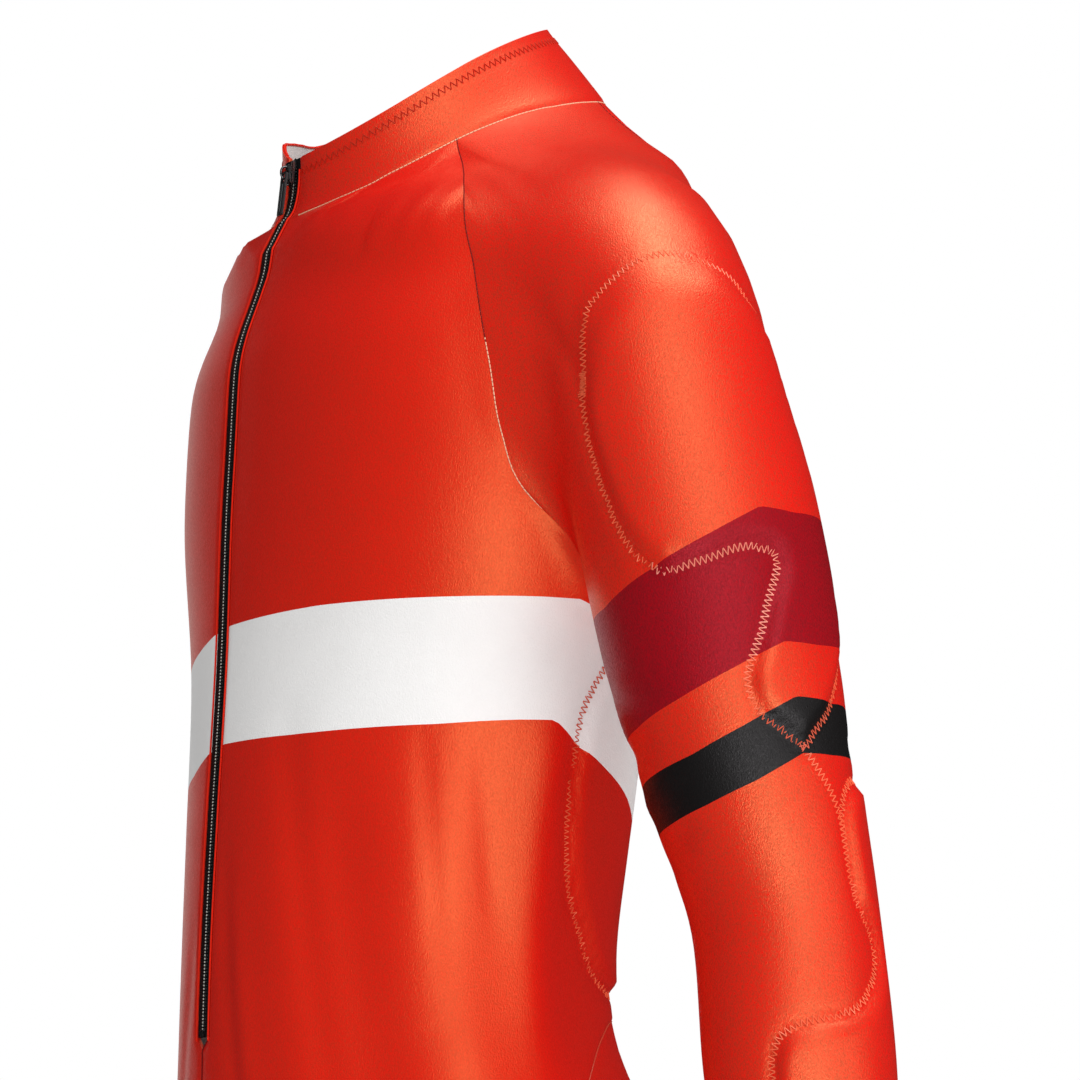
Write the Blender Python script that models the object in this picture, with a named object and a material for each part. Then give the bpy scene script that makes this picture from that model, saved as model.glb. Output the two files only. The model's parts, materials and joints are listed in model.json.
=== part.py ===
"""A ski race suit, worn with no wearer in it: hollow, open at neck, cuffs and ankles.

Metres, +Z up. The front faces -Y and the wearer's left is +X. The origin is the middle
of the neck, where the wearer carries the suit.

One smooth form, made of tubes of sections (trunk, arm, leg), gives every panel its
shape. The seams are smooth lines on that form, and each panel is a grid between its
seams, with a wall of its own thickness inside it.
"""
import math
from collections import namedtuple

import bmesh
import bpy
import numpy as np
from mathutils import Matrix

# ---------------------------------------------------------------- driving sizes
CLOTH = 0.0018             # one layer of brushed race knit
COLLAR_CLOTH = 0.0020
SEAM_GAP = 0.0003          # between the edges of two panels
ZIP_OPENING = 0.0146       # between the two front edges
TAPE_THICK = 0.0010
TAPE_SUNK = 0.0008         # the tape lies this far below the cloth's face
CHAIN_WIDTH = 0.0046
CHAIN_THICK = 0.0018
CHAIN_PROUD = 0.0002       # the chain stands this far above the cloth's face
SLIDER_LENGTH = 0.0130
SLIDER_WIDTH = 0.0092
SLIDER_THICK = 0.0026
SLIDER_TAPER = 0.70        # width of its lower end, as a share of the upper one
BAIL_WIRE = 0.0013
BAIL_SPAN = 0.0066
BAIL_HEIGHT = 0.0042
PIVOT_HEIGHT = 0.0020      # of the pull's crossbar over the slider
PULL_LENGTH = 0.0250
PULL_WIDTH = 0.0070
PULL_THICK = 0.0013
PULL_BAR = 0.0013          # the crossbar that the bail holds
PULL_WINDOW = 0.0052       # from the crossbar's middle to the window's far end
PULL_WINDOW_WIDTH = 0.0030
PULL_LEAN = 6.0            # degrees that the hanging pull stands off the slider
STOP_LENGTH = 0.0040
PAD_HEIGHT = 0.0035        # how far a sewn-in pad stands out
PAD_EDGE = 0.016           # width of a pad's sloping edge
ARM_RADIUS = 0.053         # radii that turn degrees round a tube into sizes
TRUNK_RADIUS = 0.125

# ---------------------------------------------------------------- form tables
# Sections across a tube: middle of the section, half width, half depth in front and
# behind, and how square it is (2 is an ellipse).
Section = namedtuple("Section", "x y z side front back power")

TRUNK = [
    Section(0.000, -0.036, 0.075, 0.062, 0.074, 0.080, 2.0),
    Section(0.000, -0.018, 0.036, 0.067, 0.084, 0.089, 2.0),
    Section(0.000, 0.000, 0.000, 0.082, 0.108, 0.101, 2.0),
    Section(0.000, 0.008, -0.026, 0.126, 0.116, 0.110, 2.6),
    Section(0.000, 0.012, -0.052, 0.150, 0.121, 0.116, 2.5),
    Section(0.000, 0.013, -0.090, 0.166, 0.127, 0.120, 2.1),
    Section(0.000, 0.007, -0.145, 0.168, 0.135, 0.122, 2.3),
    Section(0.000, -0.006, -0.215, 0.164, 0.126, 0.124, 2.3),
    Section(0.000, -0.018, -0.300, 0.147, 0.116, 0.123, 2.0),
    Section(0.000, -0.026, -0.380, 0.134, 0.112, 0.115, 2.0),
    Section(0.000, -0.029, -0.450, 0.128, 0.112, 0.112, 2.0),
    Section(0.000, -0.026, -0.520, 0.136, 0.116, 0.119, 2.0),
    Section(0.000, -0.018, -0.600, 0.158, 0.120, 0.130, 2.2),
    Section(0.000, -0.012, -0.660, 0.150, 0.110, 0.126, 2.2),
    Section(0.000, -0.010, -0.700, 0.112, 0.090, 0.104, 2.1),
    Section(0.000, -0.008, -0.728, 0.060, 0.060, 0.064, 2.0),
    Section(0.000, -0.006, -0.742, 0.014, 0.014, 0.014, 2.0),
]
ARM = [
    Section(0.118, 0.020, -0.062, 0.040, 0.040, 0.042, 2.0),
    Section(0.150, 0.024, -0.078, 0.052, 0.054, 0.060, 2.0),
    Section(0.180, 0.027, -0.118, 0.055, 0.061, 0.060, 2.0),
    Section(0.196, 0.032, -0.170, 0.055, 0.064, 0.058, 2.0),
    Section(0.208, 0.040, -0.225, 0.054, 0.065, 0.061, 2.0),
    Section(0.220, 0.049, -0.300, 0.053, 0.062, 0.061, 2.0),
    Section(0.230, 0.062, -0.373, 0.050, 0.053, 0.051, 2.0),
    Section(0.237, 0.072, -0.430, 0.047, 0.046, 0.045, 2.0),
    Section(0.246, 0.076, -0.505, 0.045, 0.049, 0.045, 2.0),
    Section(0.252, 0.077, -0.570, 0.040, 0.043, 0.042, 2.0),
    Section(0.257, 0.077, -0.630, 0.034, 0.036, 0.036, 2.0),
]
LEG = [
    Section(0.078, -0.010, -0.600, 0.080, 0.100, 0.110, 2.1),
    Section(0.090, -0.010, -0.700, 0.081, 0.092, 0.098, 2.0),
    Section(0.100, -0.010, -0.800, 0.075, 0.085, 0.086, 2.0),
    Section(0.106, -0.008, -0.920, 0.068, 0.074, 0.074, 2.0),
    Section(0.111, -0.002, -1.040, 0.058, 0.062, 0.060, 2.0),
    Section(0.113, 0.010, -1.160, 0.054, 0.054, 0.066, 2.0),
    Section(0.115, 0.018, -1.280, 0.044, 0.044, 0.054, 2.0),
    Section(0.118, 0.022, -1.380, 0.036, 0.038, 0.042, 2.0),
    Section(0.119, 0.024, -1.430, 0.034, 0.036, 0.040, 2.0),
]
SHOULDER_BLEND = 0.040     # reach of the blend of arm and trunk at the shoulder
ARMPIT_BLEND = 0.022       # and at the armpit, which is a crease
BLEND_TURN = -0.165        # the reach narrows from this height
BLEND_FADE = 0.060         # over this much
PART_LEVEL = -0.264        # below this, body and sleeve are two forms
PART_FADE = 0.030
HIP_BLEND = 0.045
CROTCH_BLEND = 0.012

# Soft folds of the body's cloth, from a high end to a low one. Angles go round the trunk
# from the front towards the wearer's left. A negative height is a trough.
Fold = namedtuple("Fold", "high_z high_angle low_z low_angle width height")
FOLDS = [
    Fold(-0.320, 44.0, -0.640, 66.0, 0.020, -0.0040),
    Fold(-0.330, 66.0, -0.640, 88.0, 0.026, 0.0030),
    Fold(-0.340, -40.0, -0.640, -62.0, 0.022, -0.0035),
    Fold(-0.330, -64.0, -0.620, -86.0, 0.028, 0.0026),
    Fold(-0.360, 172.0, -0.560, 150.0, 0.026, -0.0030),
    Fold(-0.350, -170.0, -0.560, -148.0, 0.028, -0.0026),
]

# ---------------------------------------------------------------- seam tables
Spot = namedtuple("Spot", "x y z")

RAGLAN_FRONT = [
    Spot(0.100, -0.039, -0.031),
    Spot(0.141, -0.058, -0.076),
    Spot(0.159, -0.056, -0.138),
    Spot(0.164, -0.051, -0.179),
    Spot(0.164, -0.032, -0.213),
]
RAGLAN_BACK = [
    Spot(0.152, 0.098, -0.215),
    Spot(0.146, 0.116, -0.165),
    Spot(0.122, 0.122, -0.095),
    Spot(0.080, 0.112, -0.020),
]
UNDERARM = Spot(0.153, 0.042, -0.200)    # straight above the lowest point of the armpit
SIDE_BACK = [
    Spot(0.120, 0.090, -0.320),
    Spot(0.066, 0.086, -0.400),
]
HIP_CORNER = Spot(0.052, 0.084, -0.473)
HIP_SEAM = [
    Spot(0.100, 0.051, -0.480),
    Spot(0.135, 0.018, -0.512),
    Spot(0.145, -0.050, -0.600),
    Spot(0.085, -0.110, -0.670),
    Spot(0.030, -0.080, -0.715),
]
CROTCH = Spot(0.000, -0.010, -0.690)     # straight above the crotch
CENTRE_BACK = [
    Spot(0.000, 0.100, -0.540),
    Spot(0.000, 0.115, -0.620),
    Spot(0.000, 0.085, -0.700),
]
ZIP_END = -0.486
ZIP_FOOT = 0.006           # below the zip the two front edges close over this height
NECK_LIFT = 0.013          # the collar seam rises this much at the sides of the neck
COLLAR_TOP_LIFT = 0.005
COLLAR_BACK_LIFT = 0.012
COLLAR_SAG = 0.008         # the worn collar hangs lower on the wearer's right
RAGLAN_FRONT_ANGLE = 69.0  # round the collar seam, from the zip
RAGLAN_BACK_ANGLE = 146.0

# Outlines of the sewn-in pads: row of the tube's table, and degrees round the tube from the
# front towards the wearer's left. Their hidden back edges are plain.
PadSpot = namedtuple("PadSpot", "row angle")
UPPER_ARM_PAD = [
    PadSpot(2.77, 17), PadSpot(2.34, 22), PadSpot(2.10, 36), PadSpot(1.97, 59),
    PadSpot(1.97, 87), PadSpot(2.11, 113), PadSpot(2.40, 135), PadSpot(2.90, 150),
    PadSpot(4.00, 156), PadSpot(5.10, 150), PadSpot(5.46, 123), PadSpot(5.73, 93),
    PadSpot(5.43, 70), PadSpot(5.20, 69), PadSpot(4.89, 84), PadSpot(4.50, 100),
    PadSpot(4.41, 80), PadSpot(4.49, 38), PadSpot(4.22, 21), PadSpot(3.51, 14),
]
FOREARM_PAD = [
    PadSpot(5.85, 99), PadSpot(6.19, 108), PadSpot(6.80, 111), PadSpot(7.31, 130),
    PadSpot(7.68, 105), PadSpot(7.80, 59), PadSpot(8.05, 42), PadSpot(8.80, 42),
    PadSpot(9.20, 70), PadSpot(9.30, 110), PadSpot(9.10, 160), PadSpot(8.20, 195),
    PadSpot(6.90, 195), PadSpot(6.10, 160),
]
SIDE_PAD = [
    PadSpot(8.03, 103), PadSpot(8.64, 102), PadSpot(9.05, 104), PadSpot(9.66, 113),
    PadSpot(10.11, 125), PadSpot(10.30, 150), PadSpot(9.40, 165), PadSpot(8.20, 150),
    PadSpot(7.80, 125),
]

# ---------------------------------------------------------------- grid sizes
STEPS = 8                  # dense sections for each row of a form table
NECK_ROW = 2 * STEPS       # dense section of the collar seam
COLLAR_TOP_ROW = STEPS + 1
ARMPIT_ROW = 5 * STEPS + 4
THIGH_ROW = 2 * STEPS
COLLAR_FRONT_CELLS = 4
COLLAR_TOP_CELLS = 3
COLLAR_BACK_CELLS = 3
COLLAR_ROWS = 3
RAGLAN_FRONT_CELLS = 10
RAGLAN_BACK_CELLS = 8
ZIP_ROWS = 13
BELOW_ZIP_ROWS = 4
BODY_ROWS = ZIP_ROWS + 1 + BELOW_ZIP_ROWS
CENTRE_BACK_CELLS = 5
SHOULDER_ROWS = 8
SLEEVE_ROWS = 12
HIP_ROWS = 6
LEG_ROWS = 8
RELAX_ROUNDS = 120
RELAX_SHARE = 0.7


# ================================================================ form
def spline(points, steps):
    """A smooth line through the rows of points, with this many steps between two rows."""
    points = np.asarray(points, float)
    ends = np.vstack([2 * points[0] - points[1], points, 2 * points[-1] - points[-2]])
    rows = []
    for i in range(len(points) - 1):
        a, b, c, d = ends[i:i + 4]
        for t in np.arange(steps) / steps:
            rows.append(0.5 * (2 * b + (c - a) * t + (2 * a - 5 * b + 4 * c - d) * t**2
                               + (3 * b - a - 3 * c + d) * t**3))
    rows.append(points[-1])
    return np.array(rows)


def unit(vectors):
    return vectors / np.maximum(np.linalg.norm(vectors, axis=-1, keepdims=True), 1e-12)


def rise(value):
    """0 below 0, 1 above 1 and smooth between."""
    value = np.clip(value, 0, 1)
    return value * value * (3 - 2 * value)


class Tube:
    """Superellipse sections along a smooth axis, read as a field: below 0 is inside."""

    def __init__(self, table):
        dense = spline([list(row) for row in table], STEPS)
        self.centre = dense[:, :3]
        self.sizes = dense[:, 3:]
        self.along = unit(np.gradient(self.centre, axis=0))
        back = np.array([0.0, 1.0, 0.0])
        self.back = unit(back - (self.along @ back)[:, None] * self.along)
        self.side = np.cross(self.along, self.back)
        self.side *= np.sign(self.side[:, :1])
        self.offset = np.einsum("mk,mk->m", self.centre, self.along)

    def place(self, points):
        """Each point's section, its two distances from the axis and how far past an end it is."""
        ahead = points @ self.along.T - self.offset
        count = (ahead > 0).sum(axis=1)
        low = np.clip(count - 1, 0, len(self.centre) - 2)
        each = np.arange(len(points))
        near, far = ahead[each, low], ahead[each, low + 1]
        share = np.clip(near / np.maximum(near - far, 1e-9), 0, 1)
        past = np.where(count == 0, -ahead[:, 0], 0) + np.where(
            count == len(self.centre), ahead[:, -1], 0)

        def at(rows):
            return rows[low] * (1 - share[:, None]) + rows[low + 1] * share[:, None]

        from_axis = points - at(self.centre)
        across = np.einsum("nk,nk->n", from_axis, at(self.side))
        depth = np.einsum("nk,nk->n", from_axis, at(self.back))
        return low + share, at(self.sizes).T, across, depth, np.maximum(past, 0)

    def value(self, points):
        _, (side, front, back, power), across, depth, past = self.place(points)
        half = np.where(depth < 0, front, back)
        ring = (np.abs(across / side) ** power + np.abs(depth / half) ** power + 1e-9) ** (1 / power)
        size = np.sqrt(side * (front + back) / 2)
        return (np.hypot(ring, past / size) - 1) * size

    def ring(self, station, angles):
        """Points of one section, at angles from the front towards the wearer's left."""
        low = min(int(station), len(self.centre) - 2)
        share = station - low

        def at(rows):
            return rows[low] * (1 - share) + rows[low + 1] * share

        side, front, back, power = at(self.sizes)
        turn = np.radians(np.asarray(angles, float))
        sine, cosine = np.sin(turn), np.cos(turn)
        half = np.where(cosine > 0, front, back)
        reach = (np.abs(sine / side) ** power + np.abs(cosine / half) ** power) ** (-1 / power)
        return (at(self.centre) + np.outer(reach * sine, at(self.side))
                - np.outer(reach * cosine, at(self.back)))


TRUNK_TUBE, ARM_TUBE, LEG_TUBE = Tube(TRUNK), Tube(ARM), Tube(LEG)


def soft_min(one, other, reach):
    shared = np.maximum(reach - np.abs(one - other), 0) / reach
    return np.minimum(one, other) - shared**2 * reach / 4


def fold_height(points):
    """How far the body's soft folds lift each point."""
    middle = np.interp(points[:, 2], TRUNK_TUBE.centre[::-1, 2], TRUNK_TUBE.centre[::-1, 1])
    angle = np.degrees(np.arctan2(points[:, 0], middle - points[:, 1]))
    radius = np.hypot(points[:, 0], middle - points[:, 1])
    total = np.zeros(len(points))
    for fold in FOLDS:
        share = (fold.high_z - points[:, 2]) / (fold.high_z - fold.low_z)
        line = fold.high_angle + (fold.low_angle - fold.high_angle) * share
        turn = (angle - line + 180) % 360 - 180
        across = np.radians(turn) * radius / fold.width
        ends = rise(share / 0.25) * rise((1 - share) / 0.3)
        total += fold.height * ends * np.exp(-across**2)
    return total


def form(points, part="body"):
    """The suit's field. Below the armpit, body and sleeve are two separate forms."""
    mirrored = points.copy()
    mirrored[:, 0] = np.abs(points[:, 0])
    rounded = mirrored.copy()
    rounded[:, 0] = np.hypot(points[:, 0], CROTCH_BLEND)
    height = points[:, 2]
    narrow = rise((BLEND_TURN - height) / BLEND_FADE)
    reach = SHOULDER_BLEND + (ARMPIT_BLEND - SHOULDER_BLEND) * narrow
    apart = 0.2 * rise((PART_LEVEL - height) / PART_FADE)
    trunk = TRUNK_TUBE.value(mirrored)
    arm = ARM_TUBE.value(mirrored)
    if part == "sleeve":
        return soft_min(arm, trunk + apart, reach)
    trunk = soft_min(trunk, LEG_TUBE.value(rounded), HIP_BLEND)
    return soft_min(trunk, arm + apart, reach) - fold_height(points)


def slope(points, part="body", step=0.0006):
    parts = []
    for axis in np.eye(3) * step:
        parts.append(form(points + axis, part) - form(points - axis, part))
    return np.stack(parts, -1) / (2 * step)


def settle(points, part="body", rounds=6):
    """Move points along the field's slope until they lie on the form."""
    points = np.array(points, float)
    shape = points.shape
    points = points.reshape(-1, 3)
    for _ in range(rounds):
        grad = slope(points, part)
        move = form(points, part)[:, None] * grad / np.maximum((grad**2).sum(1), 0.05)[:, None]
        size = np.linalg.norm(move, axis=1, keepdims=True)
        points = points - move * np.minimum(1, 0.02 / np.maximum(size, 1e-9))
    return points.reshape(shape)


def outward(points, part="body"):
    shape = points.shape
    return unit(slope(points.reshape(-1, 3), part)).reshape(shape)


def drop(spot, depth=0.12):
    """The point below a spot inside the form where a vertical line leaves it."""
    high, low = spot.z, spot.z - depth
    for _ in range(30):
        middle = (high + low) / 2
        if form(np.array([[spot.x, spot.y, middle]]))[0] < 0:
            high = middle
        else:
            low = middle
    return np.array([spot.x, spot.y, high])


# ================================================================ seams
def even(points, count):
    """The same line as count equal steps."""
    length = np.concatenate([[0], np.cumsum(np.linalg.norm(np.diff(points, axis=0), axis=1))])
    at = np.linspace(0, length[-1], count + 1)
    return np.stack([np.interp(at, length, points[:, k]) for k in range(3)], -1)


def seam(spots, count):
    """A smooth seam through the spots, laid on the form in equal steps."""
    line = even(settle(spline([list(s) for s in spots], 12), rounds=10), count)
    line[1:-1] = settle(line[1:-1])
    return line


def mirror(points):
    return points * [-1, 1, 1]


def neck_ring(station, angles, side_lift, back_lift):
    """A ring round the neck on one section, lifted at the sides and the back."""
    turn = np.radians(np.asarray(angles, float))
    lift = side_lift * np.sin(turn) ** 2 + back_lift * (1 - np.cos(turn)) / 2
    up = -TRUNK_TUBE.along[int(station)]
    ring = settle(TRUNK_TUBE.ring(station, angles) + lift[:, None] * up)
    ring[0, 0] = ZIP_OPENING / 2
    ring[-1, 0] = 0
    return ring


def front_line(across, high, low, count):
    """A line down the front at one distance from the middle."""
    level = np.linspace(high, low, 60)
    start = np.stack([np.full(60, across), np.full(60, -0.13), level], -1)
    line = settle(even(settle(start), count))
    line[:, 0] = across
    return line


def neck_angles():
    """Angles of the collar seam's points on the wearer's left, from the zip to the nape."""
    start = math.degrees(math.asin(ZIP_OPENING / 2 / TRUNK_TUBE.sizes[NECK_ROW, 1]))
    return np.concatenate([
        np.linspace(start, RAGLAN_FRONT_ANGLE, COLLAR_FRONT_CELLS + 1),
        np.linspace(RAGLAN_FRONT_ANGLE, RAGLAN_BACK_ANGLE, COLLAR_TOP_CELLS + 1)[1:],
        np.linspace(RAGLAN_BACK_ANGLE, 180, COLLAR_BACK_CELLS + 1)[1:]])


def build_seams():
    """All seams of the wearer's left half."""
    neck = neck_ring(NECK_ROW, neck_angles(), NECK_LIFT, 0)
    first, last = COLLAR_FRONT_CELLS, COLLAR_FRONT_CELLS + COLLAR_TOP_CELLS
    seams = {"neck": neck, "neck_front": neck[:first + 1],
             "neck_top": neck[first:last + 1], "neck_back": neck[last:]}
    under = drop(UNDERARM)
    seams["raglan_front"] = seam([neck[first]] + RAGLAN_FRONT + [under], RAGLAN_FRONT_CELLS)
    seams["raglan_back"] = seam([under] + RAGLAN_BACK + [neck[last]], RAGLAN_BACK_CELLS)
    corner = settle(np.array([HIP_CORNER]))[0]
    crotch = drop(CROTCH)
    seams["side"] = seam([under] + SIDE_BACK + [corner], BODY_ROWS)
    seams["hip"] = seam([crotch] + HIP_SEAM[::-1] + [corner],
                        COLLAR_FRONT_CELLS + RAGLAN_FRONT_CELLS)
    waist_middle = settle(np.array([[0, 0.09, HIP_CORNER.z]]))[0] * [0, 1, 1]
    seams["waist"] = seam([corner, waist_middle], COLLAR_BACK_CELLS + RAGLAN_BACK_CELLS)
    seams["seat"] = seam([waist_middle] + CENTRE_BACK + [crotch], CENTRE_BACK_CELLS)
    seams["seat"][:, 0] = 0
    zip_line = front_line(ZIP_OPENING / 2, neck[0, 2], ZIP_END, ZIP_ROWS)
    zip_line[0] = neck[0]
    below = front_line(0, ZIP_END - ZIP_FOOT, crotch[2] + 0.02, 24)
    below = even(np.vstack([below, crotch]), BELOW_ZIP_ROWS)
    below[1:-1] = settle(below[1:-1])
    below[:, 0] = 0
    seams["zip"] = zip_line
    seams["centre_front"] = np.vstack([zip_line, below])
    return seams


# ================================================================ panels
def patch(top, bottom, left, right):
    """A grid between four edge lines. Rows run from the top edge to the bottom one."""
    across = np.linspace(0, 1, len(top))[None, :, None]
    down = np.linspace(0, 1, len(left))[:, None, None]
    corners = ((1 - down) * ((1 - across) * top[0] + across * top[-1])
               + down * ((1 - across) * bottom[0] + across * bottom[-1]))
    return ((1 - down) * top[None] + down * bottom[None]
            + (1 - across) * left[:, None] + across * right[:, None] - corners)


def relax(grid, part, ring):
    """Even the inner points out on the form, by Winslow's rule, which keeps a grid from
    folding over a hollow edge. Edge lines stay."""
    for _ in range(RELAX_ROUNDS):
        wide = np.concatenate([grid[:, -1:], grid, grid[:, :1]], axis=1) if ring else grid
        left, right = wide[1:-1, :-2], wide[1:-1, 2:]
        above, below = wide[:-2, 1:-1], wide[2:, 1:-1]
        across, down = (right - left) / 2, (below - above) / 2
        corners = wide[2:, 2:] - wide[2:, :-2] - wide[:-2, 2:] + wide[:-2, :-2]
        tall = (down**2).sum(-1, keepdims=True)
        broad = (across**2).sum(-1, keepdims=True)
        skew = (across * down).sum(-1, keepdims=True)
        even_out = (tall * (left + right) + broad * (above + below) - skew * corners / 2)
        even_out /= 2 * (tall + broad)
        inner = wide[1:-1, 1:-1]
        moved = settle(inner + RELAX_SHARE * (even_out - inner), part, 2)
        if ring:
            grid[1:-1] = moved
        else:
            grid[1:-1, 1:-1] = moved
    return grid


def body_patch(top, bottom, left, right):
    grid = patch(top, bottom, left, right)
    grid[1:-1, 1:-1] = settle(grid[1:-1, 1:-1], rounds=12)
    return relax(grid, "body", ring=False)


def limb(tube, start, angles, first, walk_rows, ring_rows, part):
    """A tube panel: from its seam ring along the form, then in rings to its open end."""
    stations = np.linspace(first, len(tube.centre) - 1, ring_rows + 1)
    rings = [settle(tube.ring(station, angles), part) for station in stations]
    grid = [start]
    for left in range(walk_rows, 1, -1):
        grid.append(settle(grid[-1] + (rings[0] - grid[-1]) / left, part))
    return relax(np.array(grid + rings), part, ring=True)


def sleeve_grid(seams):
    start = np.vstack([seams["raglan_front"][::-1], seams["neck_top"][1:],
                       seams["raglan_back"][::-1][1:-1]])
    angles = np.concatenate([
        np.linspace(-90, 72, RAGLAN_FRONT_CELLS + 1),
        np.linspace(72, 118, COLLAR_TOP_CELLS + 1)[1:],
        np.linspace(118, 270, RAGLAN_BACK_CELLS + 1)[1:-1]])
    return limb(ARM_TUBE, start, angles, ARMPIT_ROW, SHOULDER_ROWS, SLEEVE_ROWS, "sleeve")


def leg_grid(seams):
    start = np.vstack([seams["hip"], seams["waist"][1:], seams["seat"][1:-1]])
    angles = np.concatenate([
        np.linspace(-90, 90, len(seams["hip"])),
        np.linspace(90, 205, len(seams["waist"]))[1:],
        np.linspace(205, 270, CENTRE_BACK_CELLS + 1)[1:-1]])
    return limb(LEG_TUBE, start, angles, THIGH_ROW, HIP_ROWS, LEG_ROWS, "body")


def front_grid(seams):
    top = np.vstack([seams["neck_front"], seams["raglan_front"][1:]])
    return body_patch(top, seams["hip"], seams["centre_front"], seams["side"])


def back_grid(seams):
    half_top = np.vstack([seams["raglan_back"], seams["neck_back"][1:]])
    top = np.vstack([half_top, mirror(half_top[::-1])[1:]])
    bottom = np.vstack([seams["waist"], mirror(seams["waist"][::-1])[1:]])
    return body_patch(top, bottom, seams["side"], mirror(seams["side"]))


def collar_grid(seams):
    half = [seams["neck"]]
    for row in range(1, COLLAR_ROWS + 1):
        share = row / COLLAR_ROWS
        station = NECK_ROW + (COLLAR_TOP_ROW - NECK_ROW) * share
        side_lift = NECK_LIFT + (COLLAR_TOP_LIFT - NECK_LIFT) * share
        half.append(neck_ring(station, neck_angles(), side_lift, COLLAR_BACK_LIFT * share))
    half = np.array(half)
    other = mirror(half[:, ::-1])[:, 1:]
    sag = COLLAR_SAG * np.sin(np.radians(neck_angles()[::-1][1:])) ** 2
    shares = np.linspace(0, 1, COLLAR_ROWS + 1)[:, None]
    lowered = other - (shares * sag)[..., None] * [0, 0, 1]
    other[1:, :-1] = settle(lowered[1:, :-1])
    return np.concatenate([half, other], axis=1)


# ================================================================ pads
def outline_depth(places, outline):
    """How far each place lies inside a closed outline in a plane; 0 outside."""
    inside = np.zeros(len(places), bool)
    nearest = np.full(len(places), np.inf)
    for start, end in zip(outline, np.roll(outline, -1, 0)):
        run = end - start
        share = np.clip((places - start) @ run / (run @ run), 0, 1)
        gap = np.linalg.norm(places - start - share[:, None] * run, axis=1)
        nearest = np.minimum(nearest, gap)
        crosses = (start[1] > places[:, 1]) != (end[1] > places[:, 1])
        level = (places[:, 1] - start[1]) / (end[1] - start[1] + 1e-12)
        inside ^= crosses & (places[:, 0] < start[0] + level * run[0])
    return np.where(inside, nearest, 0)


def pad_rise(points, tube, spots, radius):
    """The height of one pad at each point, from its outline on a tube."""
    step = np.linalg.norm(np.diff(tube.centre, axis=0), axis=1)
    length = np.concatenate([[0], np.cumsum(step)])
    station, _, across, depth, _ = tube.place(points)
    angle = np.arctan2(across, -depth) % (2 * math.pi)

    def plane(stations, angles):
        return np.stack([np.interp(stations, np.arange(len(length)), length), angles * radius], -1)

    outline = np.array([list(spot) for spot in spots])
    outline = plane(outline[:, 0] * STEPS, np.radians(outline[:, 1]))
    depth_in = outline_depth(plane(station, angle), outline)
    return PAD_HEIGHT * rise(depth_in / PAD_EDGE)


def pads_on(grid, part, fade):
    """The pads' height at each point of a left panel's outer grid, none at its seams."""
    points = grid.reshape(-1, 3)
    if part == "sleeve":
        height = (pad_rise(points, ARM_TUBE, UPPER_ARM_PAD, ARM_RADIUS)
                  + pad_rise(points, ARM_TUBE, FOREARM_PAD, ARM_RADIUS))
    else:
        height = pad_rise(points, TRUNK_TUBE, SIDE_PAD, TRUNK_RADIUS)
    return height.reshape(grid.shape[:2]) * fade


# ================================================================ walls
def edge_pull(edge, inner, normal, ring):
    """How each point of an edge moves into its panel to leave half a seam gap."""
    if ring:
        tangent = np.roll(edge, -1, 0) - np.roll(edge, 1, 0)
    else:
        tangent = np.gradient(edge, axis=0)
    tangent = unit(tangent)
    inward = inner - edge
    inward -= (inward * tangent).sum(1)[:, None] * tangent
    inward -= (inward * normal).sum(1)[:, None] * normal
    return unit(inward) * SEAM_GAP / 2


def draw_back(grid, normal, ring):
    moved = grid.copy()
    moved[0] += edge_pull(grid[0], grid[1], normal[0], ring)
    if not ring:
        moved[-1] += edge_pull(grid[-1], grid[-2], normal[-1], ring)
        moved[:, 0] += edge_pull(grid[:, 0], grid[:, 1], normal[:, 0], ring)
        moved[:, -1] += edge_pull(grid[:, -1], grid[:, -2], normal[:, -1], ring)
    return moved


def fair_diagonals(grid, part):
    """For each cell, whether the diagonal from its first corner lies nearer the form."""
    def off(points):
        return np.abs(form(points.reshape(-1, 3), part)).reshape(points.shape[:2])

    first = off((grid[:-1, :-1] + grid[1:, 1:]) / 2)
    second = off((grid[:-1, 1:] + grid[1:, :-1]) / 2)
    return first <= second


def wall_faces(grid, deep, part, ring):
    """Triangles of a closed wall: the outer grid, the inner grid and the rims between them.
    Both grids split a cell along the same diagonal, so the wall keeps its thickness. A rim
    splits along its shorter diagonal, which is the same one in the panel across the seam."""
    rows, columns = grid.shape[:2]
    inside = rows * columns
    places, depths = grid.reshape(-1, 3), deep.reshape(-1, 3)
    wide = np.concatenate([grid, grid[:, :1]], axis=1) if ring else grid
    first_way = fair_diagonals(wide, part)

    def at(i, j):
        return i * columns + j % columns

    def rim(a, b):
        ahead = np.linalg.norm(places[a] - depths[b])
        behind = np.linalg.norm(places[b] - depths[a])
        if ahead < behind:
            return (a, b, inside + b), (a, inside + b, inside + a)
        return (a, b, inside + a), (b, inside + b, inside + a)

    faces = []
    last = columns if ring else columns - 1
    for i in range(rows - 1):
        for j in range(last):
            a, b, c, d = at(i, j), at(i, j + 1), at(i + 1, j + 1), at(i + 1, j)
            for face in ((a, b, c), (a, c, d)) if first_way[i, j] else ((a, b, d), (b, c, d)):
                faces.append(face)
                faces.append(tuple(inside + v for v in face[::-1]))
    for j in range(last):
        for i in (0, rows - 1):
            faces.extend(rim(at(i, j), at(i, j + 1)))
    if not ring:
        for i in range(rows - 1):
            for j in (0, columns - 1):
                faces.extend(rim(at(i, j), at(i + 1, j)))
    return faces


def finish(name, colour, roughness, metallic=0.0):
    material = bpy.data.materials.new(name)
    material.use_nodes = True
    shader = material.node_tree.nodes["Principled BSDF"]
    shader.inputs["Base Color"].default_value = (*colour, 1)
    shader.inputs["Roughness"].default_value = roughness
    shader.inputs["Metallic"].default_value = metallic
    return material


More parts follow.
